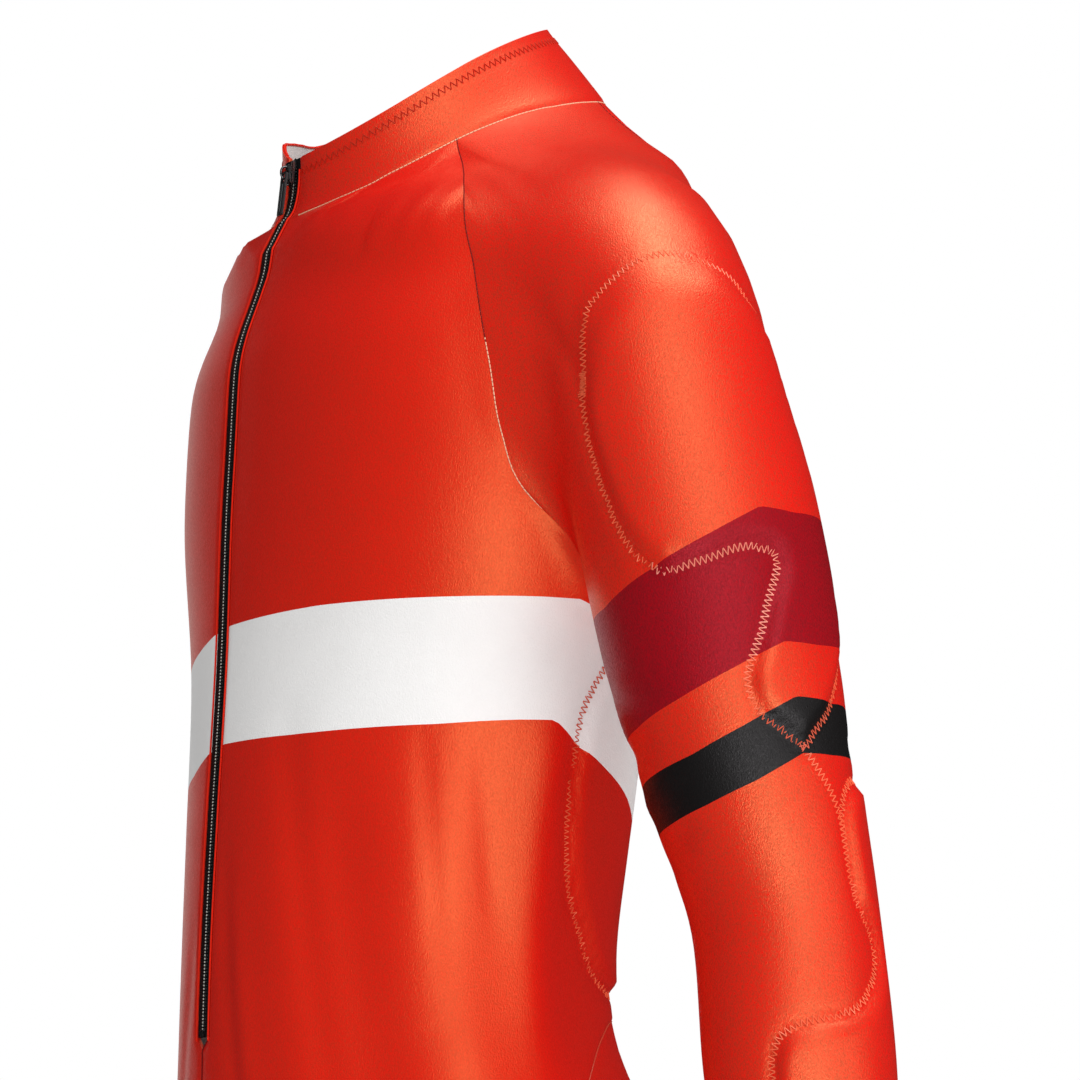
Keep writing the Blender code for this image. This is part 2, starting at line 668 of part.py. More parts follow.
def new_object(name, mesh, material, collection):
    mesh.materials.clear()
    mesh.materials.append(material)
    made = bpy.data.objects.new(name, mesh)
    collection.objects.link(made)
    return made


def closed_mesh(name, points, faces):
    """A mesh from points and faces, with every face turned outwards."""
    mesh = bpy.data.meshes.new(name)
    mesh.from_pydata([tuple(p) for p in points], [], faces)
    shell = bmesh.new()
    shell.from_mesh(mesh)
    bmesh.ops.recalc_face_normals(shell, faces=shell.faces)
    shell.to_mesh(mesh)
    shell.free()
    mesh.shade_smooth()
    mesh.set_sharp_from_angle(angle=math.radians(40))
    return mesh


def panel(name, grid, part, thick, colour, collection, ring=False, right=False, padded=False):
    """One cloth panel: a wall inside its grid, on the wearer's left or mirrored to the right.
    Pads stand out of its outer side; the inner side is plain."""
    normal = outward(grid, part)
    edge = draw_back(grid, normal, ring)
    outer, inner = edge, edge - normal * thick
    if padded:
        fade = np.ones(grid.shape[:2])
        fade[[0, -1]] = 0
        if not ring:
            fade[:, [0, -1]] = 0
        outer = outer + normal * pads_on(grid, part, fade)[..., None]
    points = np.concatenate([outer.reshape(-1, 3), inner.reshape(-1, 3)])
    if right:
        points = mirror(points)
    mesh = closed_mesh(name, points, wall_faces(grid, grid - normal * thick, part, ring))
    return new_object(name, mesh, finish(name + "_knit", colour, 0.42), collection)


# ================================================================ zip
def zip_rows(collar, seams):
    """The zip's line at one front edge, from the collar's top to the zip's end, and normals."""
    line = np.vstack([collar[::-1, 0], seams["zip"][1:]])
    normal = outward(line)
    normal[:, 0] = 0
    return line, unit(normal)


def shorten(line, cut):
    """The line with this much taken off its last step."""
    short = line.copy()
    short[-1] += unit(line[-2] - line[-1]) * cut
    return short


def strip(name, line, normal, low_x, high_x, top, bottom, colour, roughness, collection,
          metallic=0.0):
    """A closed strip along the zip, between two distances from the middle and two heights."""
    rows = []
    for point, out in zip(line, normal):
        for across, height in ((low_x, top), (high_x, top), (high_x, bottom), (low_x, bottom)):
            rows.append(np.array([across, point[1], point[2]]) + out * height)
    count = len(line)
    faces = [(4 * i + k, 4 * i + (k + 1) % 4, 4 * i + 4 + (k + 1) % 4, 4 * i + 4 + k)
             for i in range(count - 1) for k in range(4)]
    faces += [(0, 1, 2, 3), tuple(4 * (count - 1) + k for k in range(4))]
    mesh = closed_mesh(name, rows, faces)
    return new_object(name, mesh, finish(name + "_finish", colour, roughness, metallic), collection)


def build_zip(collar, seams, collection):
    line, normal = zip_rows(collar, seams)
    black = (0.012, 0.012, 0.013)
    tape_line = shorten(line, 2 * SEAM_GAP)
    inner, outer = CHAIN_WIDTH / 2 + SEAM_GAP, ZIP_OPENING / 2 - SEAM_GAP
    low = -TAPE_SUNK - TAPE_THICK
    strip("zip_tape_left", tape_line, normal, inner, outer, -TAPE_SUNK, low, black, 0.8, collection)
    strip("zip_tape_right", tape_line, normal, -outer, -inner, -TAPE_SUNK, low, black, 0.8,
          collection)
    half = CHAIN_WIDTH / 2
    chain_low = CHAIN_PROUD - CHAIN_THICK
    chain_cut = 3 * SEAM_GAP + STOP_LENGTH
    strip("zip_chain", shorten(line, chain_cut), normal, -half, half, CHAIN_PROUD, chain_low,
          black, 0.4, collection)
    step = unit(line[-2] - line[-1])
    stop_line = np.array([line[-1] + step * (2 * SEAM_GAP + STOP_LENGTH),
                          line[-1] + step * 2 * SEAM_GAP])
    strip("zip_stop_bottom", stop_line, np.array([normal[-1]] * 2), -half, half,
          CHAIN_PROUD + 0.0008, chain_low, (0.05, 0.05, 0.05), 0.3, collection, 0.9)
    return line, normal


def slider_place(line):
    """Middle of the slider's seat, the way up the zip, and the way out of the cloth."""
    top, low = line[0] * [0, 1, 1], line[1] * [0, 1, 1]
    up = unit(top - low)
    out = np.array([0.0, -up[2], up[1]])
    return (top + low) / 2, up, out


def wire_mesh(name, points, width):
    """A bent wire with closed ends, as a mesh in its own frame."""
    curve = bpy.data.curves.new(name, "CURVE")
    curve.dimensions = "3D"
    curve.bevel_depth = width / 2
    curve.bevel_resolution = 2
    curve.use_fill_caps = True
    run = curve.splines.new("POLY")
    run.points.add(len(points) - 1)
    for point, place in zip(run.points, points):
        point.co = (*place, 1)
    return curve_mesh(name, curve)


def curve_mesh(name, curve):
    """The curve as a welded, closed mesh. The curve is removed."""
    holder = bpy.data.objects.new(name + "_curve", curve)
    bpy.context.scene.collection.objects.link(holder)
    depsgraph = bpy.context.evaluated_depsgraph_get()
    mesh = bpy.data.meshes.new_from_object(holder.evaluated_get(depsgraph))
    bpy.data.objects.remove(holder)
    shell = bmesh.new()
    shell.from_mesh(mesh)
    bmesh.ops.remove_doubles(shell, verts=shell.verts, dist=1e-6)
    bmesh.ops.recalc_face_normals(shell, faces=shell.faces)
    shell.to_mesh(mesh)
    shell.free()
    return mesh


def slider_body_mesh():
    """The slider's plates: a block that narrows downwards. Local -Y is out of the cloth."""
    shell = bmesh.new()
    bmesh.ops.create_cube(shell, size=1)
    for vertex in shell.verts:
        share = SLIDER_TAPER if vertex.co.z < 0 else 1
        vertex.co.x *= SLIDER_WIDTH * share
        vertex.co.y = (vertex.co.y - 0.5) * SLIDER_THICK
        vertex.co.z *= SLIDER_LENGTH
    bmesh.ops.bevel(shell, geom=shell.edges[:], offset=0.0007, segments=2, affect="EDGES")
    mesh = bpy.data.meshes.new("zip_slider")
    shell.to_mesh(mesh)
    shell.free()
    return mesh


def bail_points():
    """The bail's arch in the slider's frame, with both feet sunk into the plate."""
    foot = BAIL_SPAN / 2
    plate = -SLIDER_THICK
    arch = [(foot, -0.001), (foot, 0.5 * BAIL_HEIGHT), (0.72 * foot, 0.86 * BAIL_HEIGHT),
            (0.24 * foot, BAIL_HEIGHT)]
    arch += [(-along, height) for along, height in arch[::-1]]
    return [(0, plate - height, along) for along, height in arch]


def pull_mesh():
    """The pull: a plate with a window for the bail. Its crossbar's middle is its origin."""
    curve = bpy.data.curves.new("zip_pull", "CURVE")
    curve.dimensions = "2D"
    curve.fill_mode = "BOTH"
    curve.extrude = PULL_THICK / 2
    top = PULL_BAR / 2
    low = top - PULL_LENGTH
    half, round_ = PULL_WIDTH / 2, 0.0016
    window, slit = PULL_WINDOW, PULL_WINDOW_WIDTH / 2
    outlines = [
        [(half - round_ / 2, top), (half, top - round_ / 2), (half * 0.86, low + 0.006),
         (half, low + round_), (half - round_, low), (-half + round_, low),
         (-half, low + round_), (-half * 0.86, low + 0.006), (-half, top - round_ / 2),
         (-half + round_ / 2, top)],
        [(slit, -top), (-slit, -top), (-slit, -window), (slit, -window)],
    ]
    for outline in outlines:
        run = curve.splines.new("POLY")
        run.points.add(len(outline) - 1)
        run.use_cyclic_u = True
        for point, place in zip(run.points, outline):
            point.co = (*place, 0, 1)
    mesh = curve_mesh("zip_pull", curve)
    mesh.transform(Matrix.Rotation(math.radians(90), 4, "X"))
    return mesh


def build_slider(line, collection, cutters):
    """The slider on the chain at the collar's top, with its bail and its hanging pull."""
    seat, up, out = slider_place(line)
    tilt = math.atan2(-up[1], up[2])
    metal = finish("zip_slider_metal", (0.09, 0.09, 0.10), 0.28, 0.9)
    body = new_object("zip_slider", slider_body_mesh(), metal, collection)
    body.location = seat + out * (CHAIN_PROUD + SEAM_GAP)
    body.rotation_euler = (tilt, 0, 0)
    bail = new_object("zip_bail_wire", wire_mesh("zip_bail", bail_points(), BAIL_WIRE), metal,
                      cutters)
    bail.location, bail.rotation_euler = body.location, body.rotation_euler
    bail.hide_render = True
    bail.display_type = "WIRE"
    join = body.modifiers.new("bail", "BOOLEAN")
    join.operation = "UNION"
    join.object = bail
    pivot = bpy.data.objects.new("zip_pull_axis", None)
    collection.objects.link(pivot)
    pivot.location = seat + out * (CHAIN_PROUD + SEAM_GAP + SLIDER_THICK + PIVOT_HEIGHT)
    pull = new_object("zip_pull", pull_mesh(), finish("zip_pull_metal", (0.03, 0.03, 0.035), 0.3,
                                                      0.8), collection)
    pull.parent = pivot
    pull.rotation_euler = (tilt - math.radians(PULL_LEAN), 0, 0)
    return pivot.location.copy()


# ================================================================ the suit
def main():
    for old in list(bpy.data.objects):
        bpy.data.objects.remove(old)
    suit = bpy.data.collections.new("ski_race_suit")
    cutters = bpy.data.collections.new("cutters")
    bpy.context.scene.collection.children.link(suit)
    bpy.context.scene.collection.children.link(cutters)
    seams = build_seams()
    orange = (0.86, 0.09, 0.025)
    front, sleeve, leg = front_grid(seams), sleeve_grid(seams), leg_grid(seams)
    collar = collar_grid(seams)
    for side in ("left", "right"):
        right = side == "right"
        panel("front_" + side, front, "body", CLOTH, orange, suit, right=right, padded=True)
        panel("sleeve_" + side, sleeve, "sleeve", CLOTH, orange, suit, ring=True, right=right,
              padded=True)
        panel("leg_" + side, leg, "body", CLOTH, orange, suit, ring=True, right=right)
    panel("back", back_grid(seams), "body", CLOTH, orange, suit)
    panel("collar", collar, "body", COLLAR_CLOTH, orange, suit)
    line, _ = build_zip(collar, seams, suit)
    pivot = build_slider(line, suit, cutters)
    print("the pull turns about", [round(v, 5) for v in pivot])


main()
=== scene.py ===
# %% [markdown]
# # A ski race suit in satin knit
# The real suit is one piece of stretch knit with foam pads sewn into the sleeves and the
# sides. It is worn here with nobody in it, so every panel is a thin wall round an empty
# hollow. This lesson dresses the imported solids: fine cloth panels, printed bands, zigzag
# stitching and a coil zip.

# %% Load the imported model
import json
import math
from collections import namedtuple

import bmesh
import bpy
import numpy as np
from mathutils import Matrix, Vector
from mathutils.bvhtree import BVHTree

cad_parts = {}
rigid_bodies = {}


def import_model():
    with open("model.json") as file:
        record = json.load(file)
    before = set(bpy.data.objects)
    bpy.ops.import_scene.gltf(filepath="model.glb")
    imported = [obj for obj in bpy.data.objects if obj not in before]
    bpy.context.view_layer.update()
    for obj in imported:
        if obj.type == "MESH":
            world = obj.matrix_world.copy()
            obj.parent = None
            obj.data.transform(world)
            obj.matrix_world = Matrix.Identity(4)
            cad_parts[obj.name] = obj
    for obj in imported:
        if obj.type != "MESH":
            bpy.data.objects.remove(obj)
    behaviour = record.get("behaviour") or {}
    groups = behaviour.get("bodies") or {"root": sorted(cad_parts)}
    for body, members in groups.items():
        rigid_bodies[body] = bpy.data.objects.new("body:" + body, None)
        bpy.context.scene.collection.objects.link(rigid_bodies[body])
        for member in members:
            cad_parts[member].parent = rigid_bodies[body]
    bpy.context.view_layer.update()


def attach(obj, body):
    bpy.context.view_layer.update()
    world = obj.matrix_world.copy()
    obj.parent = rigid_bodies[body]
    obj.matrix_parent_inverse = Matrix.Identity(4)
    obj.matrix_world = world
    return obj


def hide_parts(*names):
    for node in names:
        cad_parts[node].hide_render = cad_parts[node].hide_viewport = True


for leftover in list(bpy.data.objects):
    bpy.data.objects.remove(leftover)
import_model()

# %% [markdown]
# ## Where the camera stands
# The photograph was taken with a long lens, a little below the shoulder and well round to
# the wearer's left. A camera is placed by its eye and by the point that it looks at, so the
# two are named here and the turn is worked out from them.

# %% Camera
CAMERA_EYE = Vector((2.26804, -1.14616, -0.59035))
CAMERA_AIM = Vector((-0.00241, 0.06106, -0.20604))
LENS, SENSOR = 156.0, 36.0     # millimetres
SIGHT = 60.0               # metres


def placed(name, data):
    """A new object with this data, linked to the scene."""
    made = bpy.data.objects.new(name, data)
    bpy.context.scene.collection.objects.link(made)
    return made


def looking(place, aim):
    """The turn of a camera or lamp that stands at one place and looks at another."""
    return (Vector(aim) - Vector(place)).to_track_quat("-Z", "Y").to_euler()


lens = bpy.data.cameras.new("long_lens")
lens.lens, lens.sensor_width, lens.clip_end = LENS, SENSOR, SIGHT
camera = placed("camera", lens)
camera.location = CAMERA_EYE
camera.rotation_euler = looking(CAMERA_EYE, CAMERA_AIM)
bpy.context.scene.camera = camera
print("camera stands", round((CAMERA_AIM - CAMERA_EYE).length, 2), "m away")

# %% [markdown]
# ## Light and floor
# Satin shows what it mirrors, so the lamps are large, soft panels: a low one beside the
# camera and one round to the side, for the broad shine on the belly and the forearm, two
# higher ones for the upper arm and the shoulder, and a weak one on the far side. The world
# and the floor are pale, but nearly black in reflections, as with dark flags in a studio.
# The key shines past the near sleeve, which would throw a hard shadow on the belly.

# %% Lights, world and floor
Lamp = namedtuple("Lamp", "name place aim width height watts past_sleeve")
LAMPS = [
    Lamp("key_panel", (2.56, -0.40, -0.80), (0.10, 0.02, -0.42), 1.7, 1.2, 25, True),
    Lamp("side_panel", (2.25, 1.20, -0.55), (0.10, 0.02, -0.42), 1.2, 1.4, 8, False),
    Lamp("upper_panel", (2.40, -0.30, 1.00), (0.20, 0.0, -0.10), 1.6, 0.9, 15, False),
    Lamp("top_panel", (0.7, 0.3, 1.9), (0.10, 0.0, -0.10), 1.5, 1.5, 36, False),
    Lamp("far_panel", (-2.6, 0.2, -0.1), (0.0, 0.0, -0.30), 1.2, 1.8, 6, False),
]
FLOOR_LEVEL = -1.470
FLOOR_GREY, FLOOR_IN_GLOSS = 0.80, 0.04
SKY_FOR_CLOTH = 0.50
SKY_IN_GLOSS = 0.02


def place_lamp(spec):
    """One soft rectangular lamp."""
    light = bpy.data.lights.new(spec.name, "AREA")
    light.shape = "RECTANGLE"
    light.size, light.size_y, light.energy = spec.width, spec.height, spec.watts
    lamp = placed(spec.name, light)
    lamp.location = spec.place
    lamp.rotation_euler = looking(spec.place, spec.aim)
    if spec.past_sleeve:
        lamp.light_linking.blocker_collection = see_through_sleeve


see_through_sleeve = bpy.data.collections.new("sleeve_lets_light_past")
for spec in LAMPS:
    place_lamp(spec)

world = bpy.data.worlds.new("white_studio")
bpy.context.scene.world = world
world.use_nodes = True
sky = world.node_tree
sky.nodes.clear()
seen = sky.nodes.new("ShaderNodeBackground")
seen.inputs["Color"].default_value = (1, 1, 1, 1)
lit = sky.nodes.new("ShaderNodeBackground")
lit.inputs["Color"].default_value = (1, 1, 1, 1)
lit.inputs["Strength"].default_value = SKY_FOR_CLOTH
mirrored = sky.nodes.new("ShaderNodeBackground")
mirrored.inputs["Strength"].default_value = SKY_IN_GLOSS
path = sky.nodes.new("ShaderNodeLightPath")
soft = sky.nodes.new("ShaderNodeMixShader")
chosen = sky.nodes.new("ShaderNodeMixShader")
end = sky.nodes.new("ShaderNodeOutputWorld")
sky.links.new(path.outputs["Is Camera Ray"], chosen.inputs[0])
sky.links.new(path.outputs["Is Glossy Ray"], soft.inputs[0])
sky.links.new(lit.outputs[0], soft.inputs[1])
sky.links.new(mirrored.outputs[0], soft.inputs[2])
sky.links.new(soft.outputs[0], chosen.inputs[1])
sky.links.new(seen.outputs[0], chosen.inputs[2])
sky.links.new(chosen.outputs[0], end.inputs["Surface"])

bpy.ops.mesh.primitive_plane_add(size=4, location=(0, 0, FLOOR_LEVEL))
floor = bpy.context.object
floor.name = "studio_floor"
floor_paint = bpy.data.materials.new("grey_floor")
floor_paint.use_nodes = True
paint = floor_paint.node_tree
paint.nodes["Principled BSDF"].inputs["Roughness"].default_value = 0.8
ray, shades = paint.nodes.new("ShaderNodeLightPath"), paint.nodes.new("ShaderNodeMix")
shades.data_type = "RGBA"
for socket, grey in (("A_Color", FLOOR_GREY), ("B_Color", FLOOR_IN_GLOSS)):
    next(s for s in shades.inputs if s.identifier == socket).default_value = (grey, grey, grey, 1)
paint.links.new(ray.outputs["Is Glossy Ray"], shades.inputs[0])
paint.links.new(next(s for s in shades.outputs if s.identifier == "Result_Color"),
                paint.nodes["Principled BSDF"].inputs["Base Color"])
floor.data.materials.append(floor_paint)
scene = bpy.context.scene
scene.view_settings.view_transform = "Standard"
scene.view_settings.look = "None"
print(len(LAMPS), "soft lamps, floor at", FLOOR_LEVEL)

# %% [markdown]
# ## The form
# A tight suit follows smooth tubes: a trunk, two arms and two legs. Each tube is a short
# table of rounded sections, and a field reads below zero inside it. A soft minimum melts
# the tubes together, broadly at the shoulder and sharply in the armpit. The solids were
# cut from the same form, so cloth laid on it fits them.

# %% Sections of the tubes
CLOTH = 0.0018             # one layer of brushed race knit
COLLAR_CLOTH = 0.0020
SEAM_GAP = 0.0003          # between the edges of two panels
ZIP_OPENING = 0.0146       # between the two front edges
STEPS = 8                  # dense sections for each row of a form table

# Sections across a tube: middle of the section, half width, half depth in front and
# behind, and how square it is (2 is an ellipse).
Section = namedtuple("Section", "x y z side front back power")

TRUNK = [
    Section(0.000, -0.036, 0.075, 0.062, 0.074, 0.080, 2.0),
    Section(0.000, -0.018, 0.036, 0.067, 0.084, 0.089, 2.0),
    Section(0.000, 0.000, 0.000, 0.082, 0.108, 0.101, 2.0),
    Section(0.000, 0.008, -0.026, 0.126, 0.116, 0.110, 2.6),
    Section(0.000, 0.012, -0.052, 0.150, 0.121, 0.116, 2.5),
    Section(0.000, 0.013, -0.090, 0.166, 0.127, 0.120, 2.1),
    Section(0.000, 0.007, -0.145, 0.168, 0.135, 0.122, 2.3),
    Section(0.000, -0.006, -0.215, 0.164, 0.126, 0.124, 2.3),
    Section(0.000, -0.018, -0.300, 0.147, 0.116, 0.123, 2.0),
    Section(0.000, -0.026, -0.380, 0.134, 0.112, 0.115, 2.0),
    Section(0.000, -0.029, -0.450, 0.128, 0.112, 0.112, 2.0),
    Section(0.000, -0.026, -0.520, 0.136, 0.116, 0.119, 2.0),
    Section(0.000, -0.018, -0.600, 0.158, 0.120, 0.130, 2.2),
    Section(0.000, -0.012, -0.660, 0.150, 0.110, 0.126, 2.2),
    Section(0.000, -0.010, -0.700, 0.112, 0.090, 0.104, 2.1),
    Section(0.000, -0.008, -0.728, 0.060, 0.060, 0.064, 2.0),
    Section(0.000, -0.006, -0.742, 0.014, 0.014, 0.014, 2.0),
]
ARM = [
    Section(0.118, 0.020, -0.062, 0.040, 0.040, 0.042, 2.0),
    Section(0.150, 0.024, -0.078, 0.052, 0.054, 0.060, 2.0),
    Section(0.180, 0.027, -0.118, 0.055, 0.061, 0.060, 2.0),
    Section(0.196, 0.032, -0.170, 0.055, 0.064, 0.058, 2.0),
    Section(0.208, 0.040, -0.225, 0.054, 0.065, 0.061, 2.0),
    Section(0.220, 0.049, -0.300, 0.053, 0.062, 0.061, 2.0),
    Section(0.230, 0.062, -0.373, 0.050, 0.053, 0.051, 2.0),
    Section(0.237, 0.072, -0.430, 0.047, 0.046, 0.045, 2.0),
    Section(0.246, 0.076, -0.505, 0.045, 0.049, 0.045, 2.0),
    Section(0.252, 0.077, -0.570, 0.040, 0.043, 0.042, 2.0),
    Section(0.257, 0.077, -0.630, 0.034, 0.036, 0.036, 2.0),
]
LEG = [
    Section(0.078, -0.010, -0.600, 0.080, 0.100, 0.110, 2.1),
    Section(0.090, -0.010, -0.700, 0.081, 0.092, 0.098, 2.0),
    Section(0.100, -0.010, -0.800, 0.075, 0.085, 0.086, 2.0),
    Section(0.106, -0.008, -0.920, 0.068, 0.074, 0.074, 2.0),
    Section(0.111, -0.002, -1.040, 0.058, 0.062, 0.060, 2.0),
    Section(0.113, 0.010, -1.160, 0.054, 0.054, 0.066, 2.0),
    Section(0.115, 0.018, -1.280, 0.044, 0.044, 0.054, 2.0),
    Section(0.118, 0.022, -1.380, 0.036, 0.038, 0.042, 2.0),
    Section(0.119, 0.024, -1.430, 0.034, 0.036, 0.040, 2.0),
]
SHOULDER_BLEND = 0.040     # reach of the blend of arm and trunk at the shoulder
ARMPIT_BLEND = 0.022       # and at the armpit, which is a crease
BLEND_TURN = -0.165        # the reach narrows from this height
BLEND_FADE = 0.060         # over this much
PART_LEVEL = -0.264        # below this, body and sleeve are two forms
PART_FADE = 0.030
HIP_BLEND = 0.045
CROTCH_BLEND = 0.012
print(len(TRUNK), "trunk sections,", len(ARM), "arm sections,", len(LEG), "leg sections")

# %% [markdown]
# ## Folds of the body
# Under the chest the cloth hangs from the bust line in long, soft troughs with broad ridges
# between them. Each is listed with a high end, a low end, a width and a height. The
# first ones are also in the solids, and the finer ones are only here.

# %% The fold tables
# Soft folds of the body's cloth, from a high end to a low one. Angles go round the trunk
# from the front towards the wearer's left. A negative height is a trough.
Fold = namedtuple("Fold", "high_z high_angle low_z low_angle width height")
FOLDS = [
    Fold(-0.320, 44.0, -0.640, 66.0, 0.020, -0.0040),
    Fold(-0.330, 66.0, -0.640, 88.0, 0.026, 0.0030),
    Fold(-0.340, -40.0, -0.640, -62.0, 0.022, -0.0035),
    Fold(-0.330, -64.0, -0.620, -86.0, 0.028, 0.0026),
    Fold(-0.360, 172.0, -0.560, 150.0, 0.026, -0.0030),
    Fold(-0.350, -170.0, -0.560, -148.0, 0.028, -0.0026),
]

# %% [markdown]
# ## Smooth lines and tubes
# A Catmull-Rom spline runs a smooth line through the rows of a table. The tube class turns
# a table into closely spaced sections and answers two questions: how far a point is from
# the tube's skin, and where a given angle of a given section lies.

# %% Spline and tube
def spline(points, steps):
    """A smooth line through the rows of points, with this many steps between two rows."""
    points = np.asarray(points, float)
    ends = np.vstack([2 * points[0] - points[1], points, 2 * points[-1] - points[-2]])
    rows = []
    for i in range(len(points) - 1):
        a, b, c, d = ends[i:i + 4]
        for t in np.arange(steps) / steps:
            rows.append(0.5 * (2 * b + (c - a) * t + (2 * a - 5 * b + 4 * c - d) * t**2
                               + (3 * b - a - 3 * c + d) * t**3))
    rows.append(points[-1])
    return np.array(rows)


def unit(vectors):
    return vectors / np.maximum(np.linalg.norm(vectors, axis=-1, keepdims=True), 1e-12)


def rise(value):
    """0 below 0, 1 above 1 and smooth between."""
    value = np.clip(value, 0, 1)
    return value * value * (3 - 2 * value)


class Tube:
    """Superellipse sections along a smooth axis, read as a field: below 0 is inside."""

    def __init__(self, table):
        dense = spline([list(row) for row in table], STEPS)
        self.centre = dense[:, :3]
        self.sizes = dense[:, 3:]
        self.along = unit(np.gradient(self.centre, axis=0))
        back = np.array([0.0, 1.0, 0.0])
        self.back = unit(back - (self.along @ back)[:, None] * self.along)
        self.side = np.cross(self.along, self.back)
        self.side *= np.sign(self.side[:, :1])
        self.offset = np.einsum("mk,mk->m", self.centre, self.along)

    def place(self, points):
        """Each point's section, its two distances from the axis and how far past an end it is."""
        ahead = points @ self.along.T - self.offset
        count = (ahead > 0).sum(axis=1)
        low = np.clip(count - 1, 0, len(self.centre) - 2)
        each = np.arange(len(points))
        near, far = ahead[each, low], ahead[each, low + 1]
        share = np.clip(near / np.maximum(near - far, 1e-9), 0, 1)
        past = np.where(count == 0, -ahead[:, 0], 0) + np.where(
            count == len(self.centre), ahead[:, -1], 0)

        def at(rows):
            return rows[low] * (1 - share[:, None]) + rows[low + 1] * share[:, None]

        from_axis = points - at(self.centre)
        across = np.einsum("nk,nk->n", from_axis, at(self.side))
        depth = np.einsum("nk,nk->n", from_axis, at(self.back))
        return low + share, at(self.sizes).T, across, depth, np.maximum(past, 0)

    def value(self, points):
        _, (side, front, back, power), across, depth, past = self.place(points)
        half = np.where(depth < 0, front, back)
        ring = np.abs(across / side) ** power + np.abs(depth / half) ** power
        ring = (ring + 1e-9) ** (1 / power)
        size = np.sqrt(side * (front + back) / 2)
        return (np.hypot(ring, past / size) - 1) * size

    def ring(self, station, angles):
        """Points of one section, at angles from the front towards the wearer's left."""
        low = min(int(station), len(self.centre) - 2)
        share = station - low

        def at(rows):
            return rows[low] * (1 - share) + rows[low + 1] * share

        side, front, back, power = at(self.sizes)
        turn = np.radians(np.asarray(angles, float))
        sine, cosine = np.sin(turn), np.cos(turn)
        half = np.where(cosine > 0, front, back)
        reach = (np.abs(sine / side) ** power + np.abs(cosine / half) ** power) ** (-1 / power)
        return (at(self.centre) + np.outer(reach * sine, at(self.side))
                - np.outer(reach * cosine, at(self.back)))


TRUNK_TUBE, ARM_TUBE, LEG_TUBE = Tube(TRUNK), Tube(ARM), Tube(LEG)

# %% [markdown]
# ## Melting the tubes together
# The form adds the tubes and the folds up. Any point is brought onto the skin by walking
# down the field's slope, and the same slope gives the way out of the cloth.

# %% The form's field
def soft_min(one, other, reach):
    shared = np.maximum(reach - np.abs(one - other), 0) / reach
    return np.minimum(one, other) - shared**2 * reach / 4


def fold_height(points):
    """How far the body's soft folds lift each point."""
    middle = np.interp(points[:, 2], TRUNK_TUBE.centre[::-1, 2], TRUNK_TUBE.centre[::-1, 1])
    angle = np.degrees(np.arctan2(points[:, 0], middle - points[:, 1]))
    radius = np.hypot(points[:, 0], middle - points[:, 1])
    total = np.zeros(len(points))
    for fold in FOLDS:
        share = (fold.high_z - points[:, 2]) / (fold.high_z - fold.low_z)
        line = fold.high_angle + (fold.low_angle - fold.high_angle) * share
        turn = (angle - line + 180) % 360 - 180
        across = np.radians(turn) * radius / fold.width
        ends = rise(share / 0.25) * rise((1 - share) / 0.3)
        total += fold.height * ends * np.exp(-across**2)
    return total


def form(points, part="body"):
    """The suit's field. Below the armpit, body and sleeve are two separate forms."""
    mirrored = points.copy()
    mirrored[:, 0] = np.abs(points[:, 0])
    rounded = mirrored.copy()
    rounded[:, 0] = np.hypot(points[:, 0], CROTCH_BLEND)
    height = points[:, 2]
    narrow = rise((BLEND_TURN - height) / BLEND_FADE)
    reach = SHOULDER_BLEND + (ARMPIT_BLEND - SHOULDER_BLEND) * narrow
    apart = 0.2 * rise((PART_LEVEL - height) / PART_FADE)
    trunk = TRUNK_TUBE.value(mirrored)
    arm = ARM_TUBE.value(mirrored)
    if part == "sleeve":
        return soft_min(arm, trunk + apart, reach)
    trunk = soft_min(trunk, LEG_TUBE.value(rounded), HIP_BLEND)
    return soft_min(trunk, arm + apart, reach) - fold_height(points)


def slope(points, part="body", step=0.0006):
    parts = []
    for axis in np.eye(3) * step:
        parts.append(form(points + axis, part) - form(points - axis, part))
    return np.stack(parts, -1) / (2 * step)


def settle(points, part="body", rounds=6):
    """Move points along the field's slope until they lie on the form."""
    points = np.array(points, float)
    shape = points.shape
    points = points.reshape(-1, 3)
    for _ in range(rounds):
        grad = slope(points, part)
        move = form(points, part)[:, None] * grad / np.maximum((grad**2).sum(1), 0.05)[:, None]
        size = np.linalg.norm(move, axis=1, keepdims=True)
        points = points - move * np.minimum(1, 0.02 / np.maximum(size, 1e-9))
    return points.reshape(shape)


def outward(points, part="body"):
    shape = points.shape
    return unit(slope(points.reshape(-1, 3), part)).reshape(shape)


def drop(spot, depth=0.12):
    """The point below a spot inside the form where a vertical line leaves it."""
    high, low = spot.z, spot.z - depth
    for _ in range(30):
        middle = (high + low) / 2
        if form(np.array([[spot.x, spot.y, middle]]))[0] < 0:
            high = middle
        else:
            low = middle
    return np.array([spot.x, spot.y, high])


chest_depth = form(np.array([[0.0, 0.0, -0.2]]))[0]
print("form is", round(float(chest_depth) * 1000), "mm deep in the chest")

# %% [markdown]
# ## Seams
# The suit is cut like the real one: raglan sleeves that run up to the collar, a side seam
# behind the arm, and a slanted seam over the hip. Each seam is a few spots with
# a smooth line through them. Asking for a finer line gives more points on the same seam, so
# neighbouring panels always share an edge.

# %% Seam tables
Spot = namedtuple("Spot", "x y z")

